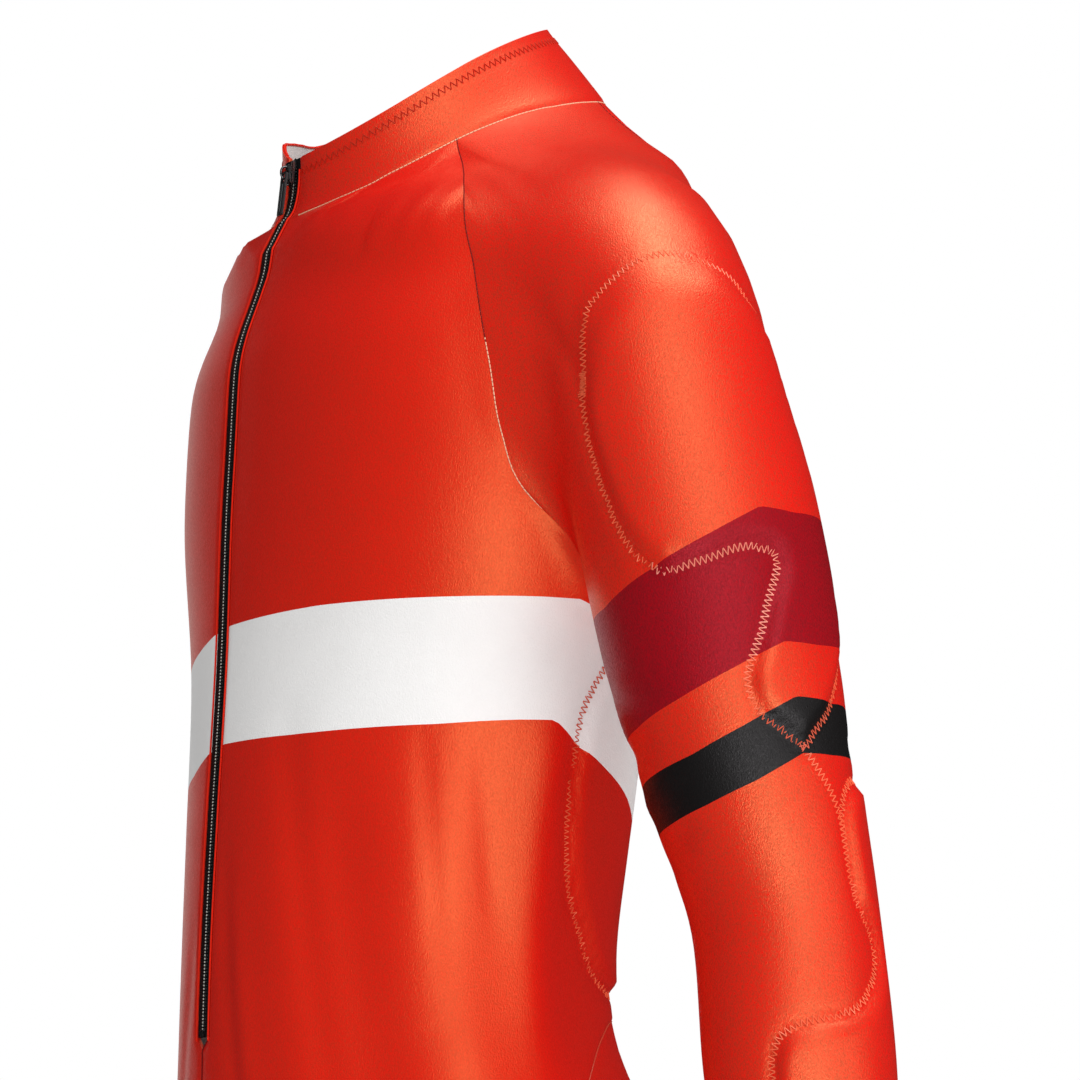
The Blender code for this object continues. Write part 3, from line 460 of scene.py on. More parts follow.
RAGLAN_FRONT = [
    Spot(0.100, -0.039, -0.031),
    Spot(0.141, -0.058, -0.076),
    Spot(0.159, -0.056, -0.138),
    Spot(0.164, -0.051, -0.179),
    Spot(0.164, -0.032, -0.213),
]
RAGLAN_BACK = [
    Spot(0.152, 0.098, -0.215),
    Spot(0.146, 0.116, -0.165),
    Spot(0.122, 0.122, -0.095),
    Spot(0.080, 0.112, -0.020),
]
UNDERARM = Spot(0.153, 0.042, -0.200)    # straight above the lowest point of the armpit
SIDE_BACK = [
    Spot(0.120, 0.090, -0.320),
    Spot(0.066, 0.086, -0.400),
]
HIP_CORNER = Spot(0.052, 0.084, -0.473)
HIP_SEAM = [
    Spot(0.100, 0.051, -0.480),
    Spot(0.135, 0.018, -0.512),
    Spot(0.145, -0.050, -0.600),
    Spot(0.085, -0.110, -0.670),
    Spot(0.030, -0.080, -0.715),
]
CROTCH = Spot(0.000, -0.010, -0.690)     # straight above the crotch
CENTRE_BACK = [
    Spot(0.000, 0.100, -0.540),
    Spot(0.000, 0.115, -0.620),
    Spot(0.000, 0.085, -0.700),
]
ZIP_END = -0.486
ZIP_FOOT = 0.006           # below the zip the two front edges close over this height
NECK_LIFT = 0.013          # the collar seam rises this much at the sides of the neck
COLLAR_TOP_LIFT = 0.005
COLLAR_BACK_LIFT = 0.012
COLLAR_SAG = 0.008         # the worn collar hangs lower on the wearer's right
RAGLAN_FRONT_ANGLE = 69.0  # round the collar seam, from the zip
RAGLAN_BACK_ANGLE = 146.0

# %% Grid sizes
NECK_ROW = 2 * STEPS       # dense section of the collar seam
COLLAR_TOP_ROW = STEPS + 1
ARMPIT_ROW = 5 * STEPS + 4
THIGH_ROW = 2 * STEPS
COLLAR_FRONT_CELLS = 4
COLLAR_TOP_CELLS = 3
COLLAR_BACK_CELLS = 3
COLLAR_ROWS = 3
RAGLAN_FRONT_CELLS = 10
RAGLAN_BACK_CELLS = 8
ZIP_ROWS = 13
BELOW_ZIP_ROWS = 4
BODY_ROWS = ZIP_ROWS + 1 + BELOW_ZIP_ROWS
CENTRE_BACK_CELLS = 5
SHOULDER_ROWS = 8
SLEEVE_ROWS = 12
HIP_ROWS = 6
LEG_ROWS = 8
RELAX_ROUNDS = 120
RELAX_SHARE = 0.7
FINER = 6                  # fine cells for each cell of the solids' grids

# %% Seam lines
def even(points, count):
    """The same line as count equal steps."""
    length = np.concatenate([[0], np.cumsum(np.linalg.norm(np.diff(points, axis=0), axis=1))])
    at = np.linspace(0, length[-1], count + 1)
    return np.stack([np.interp(at, length, points[:, k]) for k in range(3)], -1)


def seam(spots, count):
    """A smooth seam through the spots, laid on the form in equal steps."""
    line = even(settle(spline([list(s) for s in spots], 12), rounds=10), count)
    line[1:-1] = settle(line[1:-1])
    return line


def mirror(points):
    return points * [-1, 1, 1]


def neck_ring(station, angles, side_lift, back_lift):
    """A ring round the neck on one section, lifted at the sides and the back."""
    turn = np.radians(np.asarray(angles, float))
    lift = side_lift * np.sin(turn) ** 2 + back_lift * (1 - np.cos(turn)) / 2
    up = -TRUNK_TUBE.along[int(station)]
    ring = settle(TRUNK_TUBE.ring(station, angles) + lift[:, None] * up)
    ring[0, 0] = ZIP_OPENING / 2
    ring[-1, 0] = 0
    return ring


def front_line(across, high, low, count):
    """A line down the front at one distance from the middle."""
    level = np.linspace(high, low, 60)
    start = np.stack([np.full(60, across), np.full(60, -0.13), level], -1)
    line = settle(even(settle(start), count))
    line[:, 0] = across
    return line


def neck_angles(finer=1):
    """Angles of the collar seam's points on the wearer's left, from the zip to the nape."""
    start = math.degrees(math.asin(ZIP_OPENING / 2 / TRUNK_TUBE.sizes[NECK_ROW, 1]))
    return np.concatenate([
        np.linspace(start, RAGLAN_FRONT_ANGLE, COLLAR_FRONT_CELLS * finer + 1),
        np.linspace(RAGLAN_FRONT_ANGLE, RAGLAN_BACK_ANGLE, COLLAR_TOP_CELLS * finer + 1)[1:],
        np.linspace(RAGLAN_BACK_ANGLE, 180, COLLAR_BACK_CELLS * finer + 1)[1:]])


def build_seams(finer=1):
    """All seams of the wearer's left half, with this many steps for each of the solids'."""
    neck = neck_ring(NECK_ROW, neck_angles(finer), NECK_LIFT, 0)
    first = COLLAR_FRONT_CELLS * finer
    last = first + COLLAR_TOP_CELLS * finer
    seams = {"neck": neck, "neck_front": neck[:first + 1],
             "neck_top": neck[first:last + 1], "neck_back": neck[last:]}
    under = drop(UNDERARM)
    seams["raglan_front"] = seam([neck[first]] + RAGLAN_FRONT + [under],
                                 RAGLAN_FRONT_CELLS * finer)
    seams["raglan_back"] = seam([under] + RAGLAN_BACK + [neck[last]], RAGLAN_BACK_CELLS * finer)
    corner = settle(np.array([HIP_CORNER]))[0]
    crotch = drop(CROTCH)
    seams["side"] = seam([under] + SIDE_BACK + [corner], BODY_ROWS * finer)
    seams["hip"] = seam([crotch] + HIP_SEAM[::-1] + [corner],
                        (COLLAR_FRONT_CELLS + RAGLAN_FRONT_CELLS) * finer)
    waist_middle = settle(np.array([[0, 0.09, HIP_CORNER.z]]))[0] * [0, 1, 1]
    seams["waist"] = seam([corner, waist_middle], (COLLAR_BACK_CELLS + RAGLAN_BACK_CELLS) * finer)
    seams["seat"] = seam([waist_middle] + CENTRE_BACK + [crotch], CENTRE_BACK_CELLS * finer)
    seams["seat"][:, 0] = 0
    zip_line = front_line(ZIP_OPENING / 2, neck[0, 2], ZIP_END, ZIP_ROWS * finer)
    zip_line[0] = neck[0]
    below = front_line(0, ZIP_END - ZIP_FOOT, crotch[2] + 0.02, 24)
    below = even(np.vstack([below, crotch]), BELOW_ZIP_ROWS * finer)
    below[1:-1] = settle(below[1:-1])
    below[:, 0] = 0
    foot = even(np.array([zip_line[-1], below[0]]), finer)
    seams["zip"] = zip_line
    seams["centre_front"] = np.vstack([zip_line, foot[1:-1], below])
    return seams


rough_seams, seams = build_seams(), build_seams(FINER)
print("seams:", ", ".join(seams))

# %% [markdown]
# ## Panel grids
# A panel is a grid between its seams. Its first cells are as large as those of the solids
# and are evened out by Winslow's rule. Then every cell is divided smoothly, the fine edge
# is put on the fine seam, and each new point is brought back onto the form.

# %% Grids between seams
def patch(top, bottom, left, right):
    """A grid between four edge lines. Rows run from the top edge to the bottom one."""
    across = np.linspace(0, 1, len(top))[None, :, None]
    down = np.linspace(0, 1, len(left))[:, None, None]
    corners = ((1 - down) * ((1 - across) * top[0] + across * top[-1])
               + down * ((1 - across) * bottom[0] + across * bottom[-1]))
    return ((1 - down) * top[None] + down * bottom[None]
            + (1 - across) * left[:, None] + across * right[:, None] - corners)


def relax(grid, part, ring):
    """Even the inner points out on the form, by Winslow's rule, which keeps a grid from
    folding over a hollow edge. Edge lines stay."""
    for _ in range(RELAX_ROUNDS):
        wide = np.concatenate([grid[:, -1:], grid, grid[:, :1]], axis=1) if ring else grid
        left, right = wide[1:-1, :-2], wide[1:-1, 2:]
        above, below = wide[:-2, 1:-1], wide[2:, 1:-1]
        across, down = (right - left) / 2, (below - above) / 2
        corners = wide[2:, 2:] - wide[2:, :-2] - wide[:-2, 2:] + wide[:-2, :-2]
        tall = (down**2).sum(-1, keepdims=True)
        broad = (across**2).sum(-1, keepdims=True)
        skew = (across * down).sum(-1, keepdims=True)
        even_out = (tall * (left + right) + broad * (above + below) - skew * corners / 2)
        even_out /= 2 * (tall + broad)
        inner = wide[1:-1, 1:-1]
        moved = settle(inner + RELAX_SHARE * (even_out - inner), part, 2)
        if ring:
            grid[1:-1] = moved
        else:
            grid[1:-1, 1:-1] = moved
    return grid


def body_patch(top, bottom, left, right):
    grid = patch(top, bottom, left, right)
    grid[1:-1, 1:-1] = settle(grid[1:-1, 1:-1], rounds=12)
    return relax(grid, "body", ring=False)


def limb(tube, start, angles, first, walk_rows, ring_rows, part):
    """A tube panel: from its seam ring along the form, then in rings to its open end."""
    stations = np.linspace(first, len(tube.centre) - 1, ring_rows + 1)
    rings = [settle(tube.ring(station, angles), part) for station in stations]
    grid = [start]
    for left in range(walk_rows, 1, -1):
        grid.append(settle(grid[-1] + (rings[0] - grid[-1]) / left, part))
    return relax(np.array(grid + rings), part, ring=True)


def sleeve_start(seams):
    return np.vstack([seams["raglan_front"][::-1], seams["neck_top"][1:],
                      seams["raglan_back"][::-1][1:-1]])


def sleeve_grid(seams):
    angles = np.concatenate([
        np.linspace(-90, 72, RAGLAN_FRONT_CELLS + 1),
        np.linspace(72, 118, COLLAR_TOP_CELLS + 1)[1:],
        np.linspace(118, 270, RAGLAN_BACK_CELLS + 1)[1:-1]])
    return limb(ARM_TUBE, sleeve_start(seams), angles, ARMPIT_ROW, SHOULDER_ROWS, SLEEVE_ROWS,
                "sleeve")


def leg_start(seams):
    return np.vstack([seams["hip"], seams["waist"][1:], seams["seat"][1:-1]])


def leg_grid(seams):
    angles = np.concatenate([
        np.linspace(-90, 90, len(seams["hip"])),
        np.linspace(90, 205, len(seams["waist"]))[1:],
        np.linspace(205, 270, CENTRE_BACK_CELLS + 1)[1:-1]])
    return limb(LEG_TUBE, leg_start(seams), angles, THIGH_ROW, HIP_ROWS, LEG_ROWS, "body")


def joined(first, second):
    """Two edge lines as one."""
    return np.vstack([first, second[1:]])


def front_edges(seams):
    """Top, bottom, left and right edge of a front."""
    return (joined(seams["neck_front"], seams["raglan_front"]), seams["hip"],
            seams["centre_front"], seams["side"])


def back_edges(seams):
    half_top = joined(seams["raglan_back"], seams["neck_back"])
    return (joined(half_top, mirror(half_top[::-1])),
            joined(seams["waist"], mirror(seams["waist"][::-1])),
            seams["side"], mirror(seams["side"]))


def collar_grid(seams, finer):
    half = [seams["neck"]]
    for row in range(1, COLLAR_ROWS * finer + 1):
        share = row / COLLAR_ROWS / finer
        station = NECK_ROW + (COLLAR_TOP_ROW - NECK_ROW) * share
        side_lift = NECK_LIFT + (COLLAR_TOP_LIFT - NECK_LIFT) * share
        half.append(neck_ring(station, neck_angles(finer), side_lift, COLLAR_BACK_LIFT * share))
    half = np.array(half)
    other = mirror(half[:, ::-1])[:, 1:]
    sag = COLLAR_SAG * np.sin(np.radians(neck_angles(finer)[::-1][1:])) ** 2
    shares = np.linspace(0, 1, COLLAR_ROWS * finer + 1)[:, None]
    lowered = other - (shares * sag)[..., None] * [0, 0, 1]
    other[1:, :-1] = settle(lowered[1:, :-1])
    return np.concatenate([half, other], axis=1)


# %% Dividing the cells
def divide(grid, ring):
    """The grid with FINER cells for each one, by smooth lines both ways."""
    rows, columns = grid.shape[:2]
    tall = spline(grid.reshape(rows, -1), FINER).reshape(-1, columns, 3).transpose(1, 0, 2)
    if ring:
        tall = np.concatenate([tall[-2:], tall, tall[:3]])
    wide = spline(tall.reshape(len(tall), -1), FINER).reshape(-1, tall.shape[1], 3)
    if ring:
        wide = wide[2 * FINER:(2 + columns) * FINER]
    return wide.transpose(1, 0, 2).copy()


def fine_patch(rough, top, bottom, left, right):
    grid = divide(rough, ring=False)
    grid += patch(top - grid[0], bottom - grid[-1], left - grid[:, 0], right - grid[:, -1])
    grid[1:-1, 1:-1] = settle(grid[1:-1, 1:-1], rounds=4)
    return grid


def fine_limb(rough, start, part):
    grid = divide(rough, ring=True)
    fade = np.clip(1 - np.arange(len(grid)) / (2 * FINER), 0, 1) ** 2
    grid += fade[:, None, None] * (start - grid[0])
    grid[1:] = settle(grid[1:], part, 4)
    return grid


# %% Fine grids of every panel
fine_front = fine_patch(body_patch(*front_edges(rough_seams)), *front_edges(seams))
fine_back = fine_patch(body_patch(*back_edges(rough_seams)), *back_edges(seams))
fine_sleeve = fine_limb(sleeve_grid(rough_seams), sleeve_start(seams), "sleeve")
fine_leg = fine_limb(leg_grid(rough_seams), leg_start(seams), "body")
fine_collar = collar_grid(seams, FINER)
for name, grid in (("front", fine_front), ("back", fine_back), ("sleeve", fine_sleeve),
                   ("leg", fine_leg), ("collar", fine_collar)):
    print(name, "grid has", grid.shape[0], "by", grid.shape[1], "points")

# %% [markdown]
# ## Sewn-in pads
# Foam pads lie between two layers of the sleeves and behind the ribs. Their edges are held
# by zigzag stitching, so the cloth dips at the stitches and swells just inside them. An
# outline is a row of spots on a tube, turned into a plane of metres, where a signed
# distance is easy: positive inside the pad and negative outside it.

# %% Pad outlines
PadSpot = namedtuple("PadSpot", "row angle")
UPPER_ARM_PAD = [
    PadSpot(2.77, 17), PadSpot(2.50, 21), PadSpot(2.34, 23), PadSpot(2.18, 28),
    PadSpot(2.10, 36), PadSpot(2.03, 47), PadSpot(1.97, 59), PadSpot(1.95, 74),
    PadSpot(1.97, 87), PadSpot(2.04, 100), PadSpot(2.11, 113), PadSpot(2.22, 124),
    PadSpot(2.50, 140), PadSpot(3.00, 151), PadSpot(3.70, 156), PadSpot(4.40, 156),
    PadSpot(5.00, 149), PadSpot(5.26, 137), PadSpot(5.46, 123), PadSpot(5.55, 114),
    PadSpot(5.64, 103), PadSpot(5.73, 93), PadSpot(5.60, 82), PadSpot(5.51, 74),
    PadSpot(5.43, 70), PadSpot(5.34, 68), PadSpot(5.20, 69), PadSpot(5.04, 77),
    PadSpot(4.89, 84), PadSpot(4.74, 90), PadSpot(4.60, 97), PadSpot(4.50, 100),
    PadSpot(4.44, 96), PadSpot(4.41, 86), PadSpot(4.41, 75), PadSpot(4.45, 62),
    PadSpot(4.47, 50), PadSpot(4.49, 38), PadSpot(4.44, 32), PadSpot(4.36, 26),
    PadSpot(4.22, 21), PadSpot(4.01, 17), PadSpot(3.77, 15), PadSpot(3.51, 14),
    PadSpot(3.26, 13), PadSpot(3.00, 14),
]
FOREARM_PAD = [
    PadSpot(6.38, 112), PadSpot(6.58, 111), PadSpot(6.80, 111), PadSpot(7.01, 113),
    PadSpot(7.15, 122), PadSpot(7.31, 130), PadSpot(7.44, 128), PadSpot(7.56, 118),
    PadSpot(7.68, 105), PadSpot(7.74, 89), PadSpot(7.76, 72), PadSpot(7.80, 59), PadSpot(7.85, 49),
    PadSpot(7.95, 44), PadSpot(8.05, 42), PadSpot(8.45, 40), PadSpot(8.85, 46),
    PadSpot(9.15, 66), PadSpot(9.28, 96), PadSpot(9.25, 130), PadSpot(9.00, 160),
    PadSpot(8.50, 184), PadSpot(7.80, 195), PadSpot(7.00, 194), PadSpot(6.40, 180),
    PadSpot(6.05, 158), PadSpot(5.98, 140), PadSpot(6.04, 126), PadSpot(6.19, 116),
]
ELBOW_LINE = [PadSpot(5.73, 93), PadSpot(5.84, 97), PadSpot(6.03, 105), PadSpot(6.19, 109),
              PadSpot(6.38, 112)]
BARTACK = [PadSpot(2.70, 17), PadSpot(2.79, 16), PadSpot(2.88, 16)]
SIDE_PAD = [
    PadSpot(7.70, 112), PadSpot(8.03, 104), PadSpot(8.24, 102), PadSpot(8.47, 102),
    PadSpot(8.64, 102), PadSpot(8.83, 103), PadSpot(9.05, 104), PadSpot(9.41, 108),
    PadSpot(9.66, 113), PadSpot(9.92, 118), PadSpot(10.11, 125), PadSpot(10.20, 140),
    PadSpot(10.00, 160), PadSpot(9.20, 168), PadSpot(8.20, 156), PadSpot(7.70, 136),
]
ARM_RADIUS = 0.053         # radii that turn degrees round a tube into metres
TRUNK_RADIUS = 0.125
PAD_HEIGHT = 0.0040
PAD_EDGE = 0.0090          # how far inside its stitches a pad has swollen up
STITCH_DIP = 0.0011        # the stitches pull the cloth in by this much
DIP_WIDTH = 0.0034


def tube_place(points, tube):
    """Row of the tube's table, and degrees round it from the front to the wearer's left."""
    station, _, across, depth, _ = tube.place(points)
    return station / STEPS, np.degrees(np.arctan2(across, -depth)) % 360


def flat_place(rows, angles, tube, radius):
    """The same place in a plane, in metres along the tube and round it."""
    step = np.linalg.norm(np.diff(tube.centre, axis=0), axis=1)
    length = np.concatenate([[0], np.cumsum(step)])
    along = np.interp(np.asarray(rows) * STEPS, np.arange(len(length)), length)
    return np.stack([along, np.radians(angles) * radius], -1)


def outline_distance(places, outline):
    """Distance to a closed outline: positive inside it and negative outside."""
    inside = np.zeros(len(places), bool)
    nearest = np.full(len(places), np.inf)
    for start, end in zip(outline, np.roll(outline, -1, 0)):
        run = end - start
        share = np.clip((places - start) @ run / (run @ run + 1e-15), 0, 1)
        gap = np.linalg.norm(places - start - share[:, None] * run, axis=1)
        nearest = np.minimum(nearest, gap)
        crosses = (start[1] > places[:, 1]) != (end[1] > places[:, 1])
        level = (places[:, 1] - start[1]) / (end[1] - start[1] + 1e-12)
        inside ^= crosses & (places[:, 0] < start[0] + level * run[0])
    return np.where(inside, nearest, -nearest)


Pad = namedtuple("Pad", "spots tube radius")
PADS = {"sleeve": [Pad(UPPER_ARM_PAD, ARM_TUBE, ARM_RADIUS),
                   Pad(FOREARM_PAD, ARM_TUBE, ARM_RADIUS)],
        "front": [Pad(SIDE_PAD, TRUNK_TUBE, TRUNK_RADIUS)]}


def smooth_outline(pad):
    """The pad's outline as a closed smooth line of rows and angles."""
    spots = np.array([list(spot) for spot in pad.spots])
    closed = np.concatenate([spots[-2:], spots, spots[:3]])
    dense = spline(closed, 3)
    return dense[6:6 + 3 * len(spots)]


def pad_distances(points, pads):
    """Signed distance of each point to each pad's outline."""
    distances = []
    for pad in pads:
        rows, angles = tube_place(points, pad.tube)
        outline = smooth_outline(pad)
        distances.append(outline_distance(flat_place(rows, angles, pad.tube, pad.radius),
                                          flat_place(outline[:, 0], outline[:, 1], pad.tube,
                                                     pad.radius)))
    return distances


def pad_relief(distances):
    """How far the pads and their stitched edges lift the cloth."""
    lift = 0
    for distance in distances:
        swell = PAD_HEIGHT * rise(distance / PAD_EDGE)
        lift = lift + swell - STITCH_DIP * np.exp(-(distance / DIP_WIDTH) ** 2)
    return lift


print("pads:", {name: len(pads) for name, pads in PADS.items()})

# %% [markdown]
# ## Creases
# A bent arm gathers the sleeve in short, uneven creases: some run into the armpit, and some
# cross the inside of the elbow. The body has longer ones below the chest. Each one is a line
# on its tube with a height, negative for a trough, that dies away at both ends.

# %% Crease tables
Crease = namedtuple("Crease", "row angle to_row to_angle width height")
SLEEVE_CREASES = [
    Crease(1.60, 6, 3.40, -14, 0.0060, -0.0022),
    Crease(1.40, -14, 3.00, -34, 0.0070, 0.0018),
    Crease(2.10, 4, 2.85, 16, 0.0045, -0.0016),
    Crease(3.60, -4, 4.60, 14, 0.0080, -0.0012),
    Crease(5.00, 330, 5.20, 385, 0.0065, -0.0014),
    Crease(5.50, 300, 5.45, 372, 0.0080, -0.0020),
    Crease(5.90, 310, 5.70, 380, 0.0060, 0.0012),
    Crease(6.40, 320, 6.10, 384, 0.0070, -0.0012),
    Crease(5.10, 152, 5.62, 196, 0.0060, -0.0016),
    Crease(5.72, 140, 5.80, 190, 0.0050, -0.0018),
    Crease(9.30, 20, 9.75, 70, 0.0050, -0.0010),
    Crease(9.50, 150, 9.75, 220, 0.0060, -0.0011),
]
BODY_CREASES = [
    Crease(5.30, 62, 7.30, 88, 0.0080, -0.0011),
    Crease(4.60, 70, 6.60, 96, 0.0060, 0.0007),
    Crease(8.20, 30, 11.60, 52, 0.0110, -0.0018),
    Crease(8.30, 66, 10.20, 76, 0.0055, -0.0009),
    Crease(8.20, 78, 9.90, 88, 0.0060, -0.0010),
    Crease(7.90, 96, 11.20, 98, 0.0170, 0.0044),
    Crease(9.00, 8, 12.50, 26, 0.0070, -0.0012),
    Crease(9.40, 14, 13.00, 36, 0.0080, 0.0011),
    Crease(9.60, 352, 12.00, 334, 0.0080, -0.0011),
    Crease(8.30, 312, 11.60, 296, 0.0120, -0.0016),
    Crease(8.50, 196, 10.60, 206, 0.0110, -0.0013),
    Crease(8.70, 158, 10.90, 150, 0.0100, -0.0012),
]


def crease_relief(points, tube, radius, creases):
    """How far the creases lift each point."""
    rows, angles = tube_place(points, tube)
    lift = np.zeros(len(points))
    for crease in creases:
        start, end = flat_place([crease.row, crease.to_row], [crease.angle, crease.to_angle],
                                tube, radius)
        run = end - start
        for turn in (-360, 0, 360):
            places = flat_place(rows, angles + turn, tube, radius)
            share = (places - start) @ run / (run @ run)
            off = places - start - np.clip(share, 0, 1)[:, None] * run
            ends = rise(share / 0.3 + 0.15) * rise((1 - share) / 0.35 + 0.15)
            bell = np.exp(-(off**2).sum(1) / crease.width**2)
            lift += crease.height * ends * bell
    return lift


print(len(SLEEVE_CREASES), "creases on a sleeve,", len(BODY_CREASES), "on the body")

# %% [markdown]
# ## Printed bands
# The bands are printed on the knit, so they are colour and nothing else. Painting them face
# by face would leave steps. Instead each point stores its distance to a band's edge, and a
# later cell cuts the mesh where that number passes zero.

# %% Band tables
SleeveBands = namedtuple("SleeveBands", "angle crimson_top crimson_low black_top black_low")
SLEEVE_BANDS = [
    SleeveBands(0, 4.59, 5.35, 5.67, 6.04),
    SleeveBands(30, 4.455, 5.265, 5.62, 5.985),
    SleeveBands(60, 4.315, 5.16, 5.52, 5.90),
    SleeveBands(92, 4.155, 5.04, 5.40, 5.77),
    SleeveBands(114, 4.195, 5.08, 5.45, 5.81),
    SleeveBands(140, 4.19, 5.09, 5.47, 5.83),
    SleeveBands(180, 4.26, 5.15, 5.54, 5.90),
    SleeveBands(230, 4.42, 5.30, 5.68, 6.03),
    SleeveBands(285, 4.62, 5.44, 5.78, 6.13),
]
ROW_LENGTH = 0.066         # metres along the arm for each row of its table
ChestBand = namedtuple("ChestBand", "angle top low")
CHEST_BAND = [
    ChestBand(0, -0.268, -0.331), ChestBand(40, -0.264, -0.330), ChestBand(70, -0.263, -0.328),
    ChestBand(87, -0.262, -0.325), ChestBand(95, -0.262, -0.324), ChestBand(103, -0.269, -0.337),
    ChestBand(113, -0.281, -0.347), ChestBand(125, -0.294, -0.358),
    ChestBand(150, -0.318, -0.384), ChestBand(180, -0.338, -0.404),
    ChestBand(235, -0.294, -0.358), ChestBand(257, -0.269, -0.337),
    ChestBand(268, -0.262, -0.328), ChestBand(300, -0.276, -0.342),
    ChestBand(325, -0.284, -0.351), ChestBand(342, -0.277, -0.344),
]


def round_the_tube(angles, table, column):
    return np.interp(angles, [row.angle for row in table],
                     [getattr(row, column) for row in table], period=360)


def sleeve_bands(points):
    rows, angles = tube_place(points, ARM_TUBE)
    bands = {}
    for name in ("crimson", "black"):
        top = round_the_tube(angles, SLEEVE_BANDS, name + "_top")
        low = round_the_tube(angles, SLEEVE_BANDS, name + "_low")
        bands[name + "_band"] = np.minimum(rows - top, low - rows) * ROW_LENGTH
    return bands


def chest_band(points):
    _, angles = tube_place(points, TRUNK_TUBE)
    top = round_the_tube(angles, CHEST_BAND, "top")
    low = round_the_tube(angles, CHEST_BAND, "low")
    return {"white_band": np.minimum(top - points[:, 2], points[:, 2] - low)}


print("bands on a sleeve: crimson, black; on the body: white")

# %% [markdown]
# ## A wall of cloth
# A panel becomes a closed wall: the outer grid, an inner grid one layer of cloth inside it,
# and rims all round. The faces are wound by hand, so that nothing has to be turned later,
# and the inner side gets its own material slot, because the knit is white inside.

# %% Wall mesh
def wall_faces(rows, columns, ring):
    """Outer quads, inner quads and rim quads of a wall, all wound the same way."""
    last = columns if ring else columns - 1
    i, j = np.meshgrid(np.arange(rows - 1), np.arange(last), indexing="ij")
    i, j = i.ravel(), j.ravel()
    on = (j + 1) % columns
    skin = np.stack([i * columns + j, i * columns + on, (i + 1) * columns + on,
                     (i + 1) * columns + j], -1)
    inside = rows * columns
    lining = skin[:, [0, 3, 2, 1]] + inside      # cut across the same corners as the skin

    def rim(first, second):
        return np.stack([second, first, first + inside, second + inside], -1)

    across = np.arange(last)
    ahead = (across + 1) % columns
    base = (rows - 1) * columns
    rims = [rim(across, ahead), rim(base + ahead, base + across)]
    if not ring:
        down = np.arange(rows - 1) * columns
        rims += [rim(down + columns, down), rim(down + columns - 1, down + 2 * columns - 1)]
    return skin, lining, np.concatenate(rims)


def wall_mesh(name, outer, inner, ring, turned, values):
    """A closed wall with a UV map in metres and one stored number for each name in values."""
    rows, columns = outer.shape[:2]
    skin, lining, rims = wall_faces(rows, columns, ring)
    faces = np.concatenate([skin, lining, rims])
    if turned:
        faces = faces[:, ::-1]
    points = np.concatenate([outer.reshape(-1, 3), inner.reshape(-1, 3)])
    mesh = bpy.data.meshes.new(name)
    mesh.from_pydata(points.tolist(), [], faces.tolist())
    mesh.polygons.foreach_set("material_index", np.concatenate([
        np.zeros(len(skin), int), np.ones(len(lining), int), np.zeros(len(rims), int)]))
    wide = np.linalg.norm(np.diff(outer, axis=1), axis=2).mean()
    tall = np.linalg.norm(np.diff(outer, axis=0), axis=2).mean()
    last = columns if ring else columns - 1
    i, j = np.divmod(np.arange(len(skin)), last)
    corners = np.stack([np.stack([j + right, i + down], -1)
                        for right, down in ((0, 0), (1, 0), (1, 1), (0, 1))], 1) * [wide, tall]
    plane = np.concatenate([corners, corners[:, [0, 3, 2, 1]], np.zeros((len(rims), 4, 2))])
    if turned:
        plane = plane[:, ::-1]
    mesh.uv_layers.new(name="cloth").data.foreach_set("uv", plane.ravel())
    for key, numbers in values.items():
        stored = mesh.attributes.new(key, "FLOAT", "POINT")
        stored.data.foreach_set("value", np.tile(numbers.ravel(), 2).astype(np.float32))
    mesh.shade_smooth()
    mesh.set_sharp_from_angle(angle=math.radians(55))
    mesh.validate()
    return mesh


print("a wall of 3 by 3 points has", sum(len(f) for f in wall_faces(3, 3, False)), "faces")

# %% Edges drawn back from the seams
SEAM_DIP = 0.0007          # a sewn edge is turned in by this much
EDGE_ROWS = 3              # relief starts this many fine rows from a seam


def edge_pull(edge, inner, normal, ring):
    """How each point of an edge moves into its panel to leave half a seam gap."""
    tangent = np.roll(edge, -1, 0) - np.roll(edge, 1, 0) if ring else np.gradient(edge, axis=0)
    tangent = unit(tangent)
    inward = inner - edge
    inward -= (inward * tangent).sum(1)[:, None] * tangent
    inward -= (inward * normal).sum(1)[:, None] * normal
    return unit(inward) * SEAM_GAP / 2


def draw_back(grid, normal, ring):
    moved = grid.copy()
    moved[0] += edge_pull(grid[0], grid[1], normal[0], ring)
    if not ring:
        moved[-1] += edge_pull(grid[-1], grid[-2], normal[-1], ring)
        moved[:, 0] += edge_pull(grid[:, 0], grid[:, 1], normal[:, 0], ring)
        moved[:, -1] += edge_pull(grid[:, -1], grid[:, -2], normal[:, -1], ring)
    return moved


def edge_fade(shape, ring, sewn_end):
    """1 inside a panel and 0 at its sewn edges, rising over the first rows."""
    rows, columns = shape
    down = np.arange(rows)
    fade = rise(down / EDGE_ROWS)
    if sewn_end:
        fade = fade * rise((rows - 1 - down) / EDGE_ROWS)
    fade = np.repeat(fade[:, None], columns, 1)
    if not ring:
        across = np.arange(columns)
        fade *= rise(across / EDGE_ROWS) * rise((columns - 1 - across) / EDGE_ROWS)
    return fade


print("sewn edges dip by", SEAM_DIP * 1000, "mm")

# %% [markdown]
# ## Satin knit
# The cloth is a fine warp knit with a satin face. Close up it glitters: tiny loops catch the
# light one by one. A shared node group gives that grain as a height, a slight change of
# shade and a change of roughness, and each material chooses how strong they are.

# %% Node helpers
def add_node(tree, kind, **settings):
    """A node with some of its settings and inputs set by name."""
    made = tree.nodes.new(kind)
    for name, value in settings.items():
        if name in made.inputs:
            made.inputs[name].default_value = value
        else:
            setattr(made, name, value)
    return made


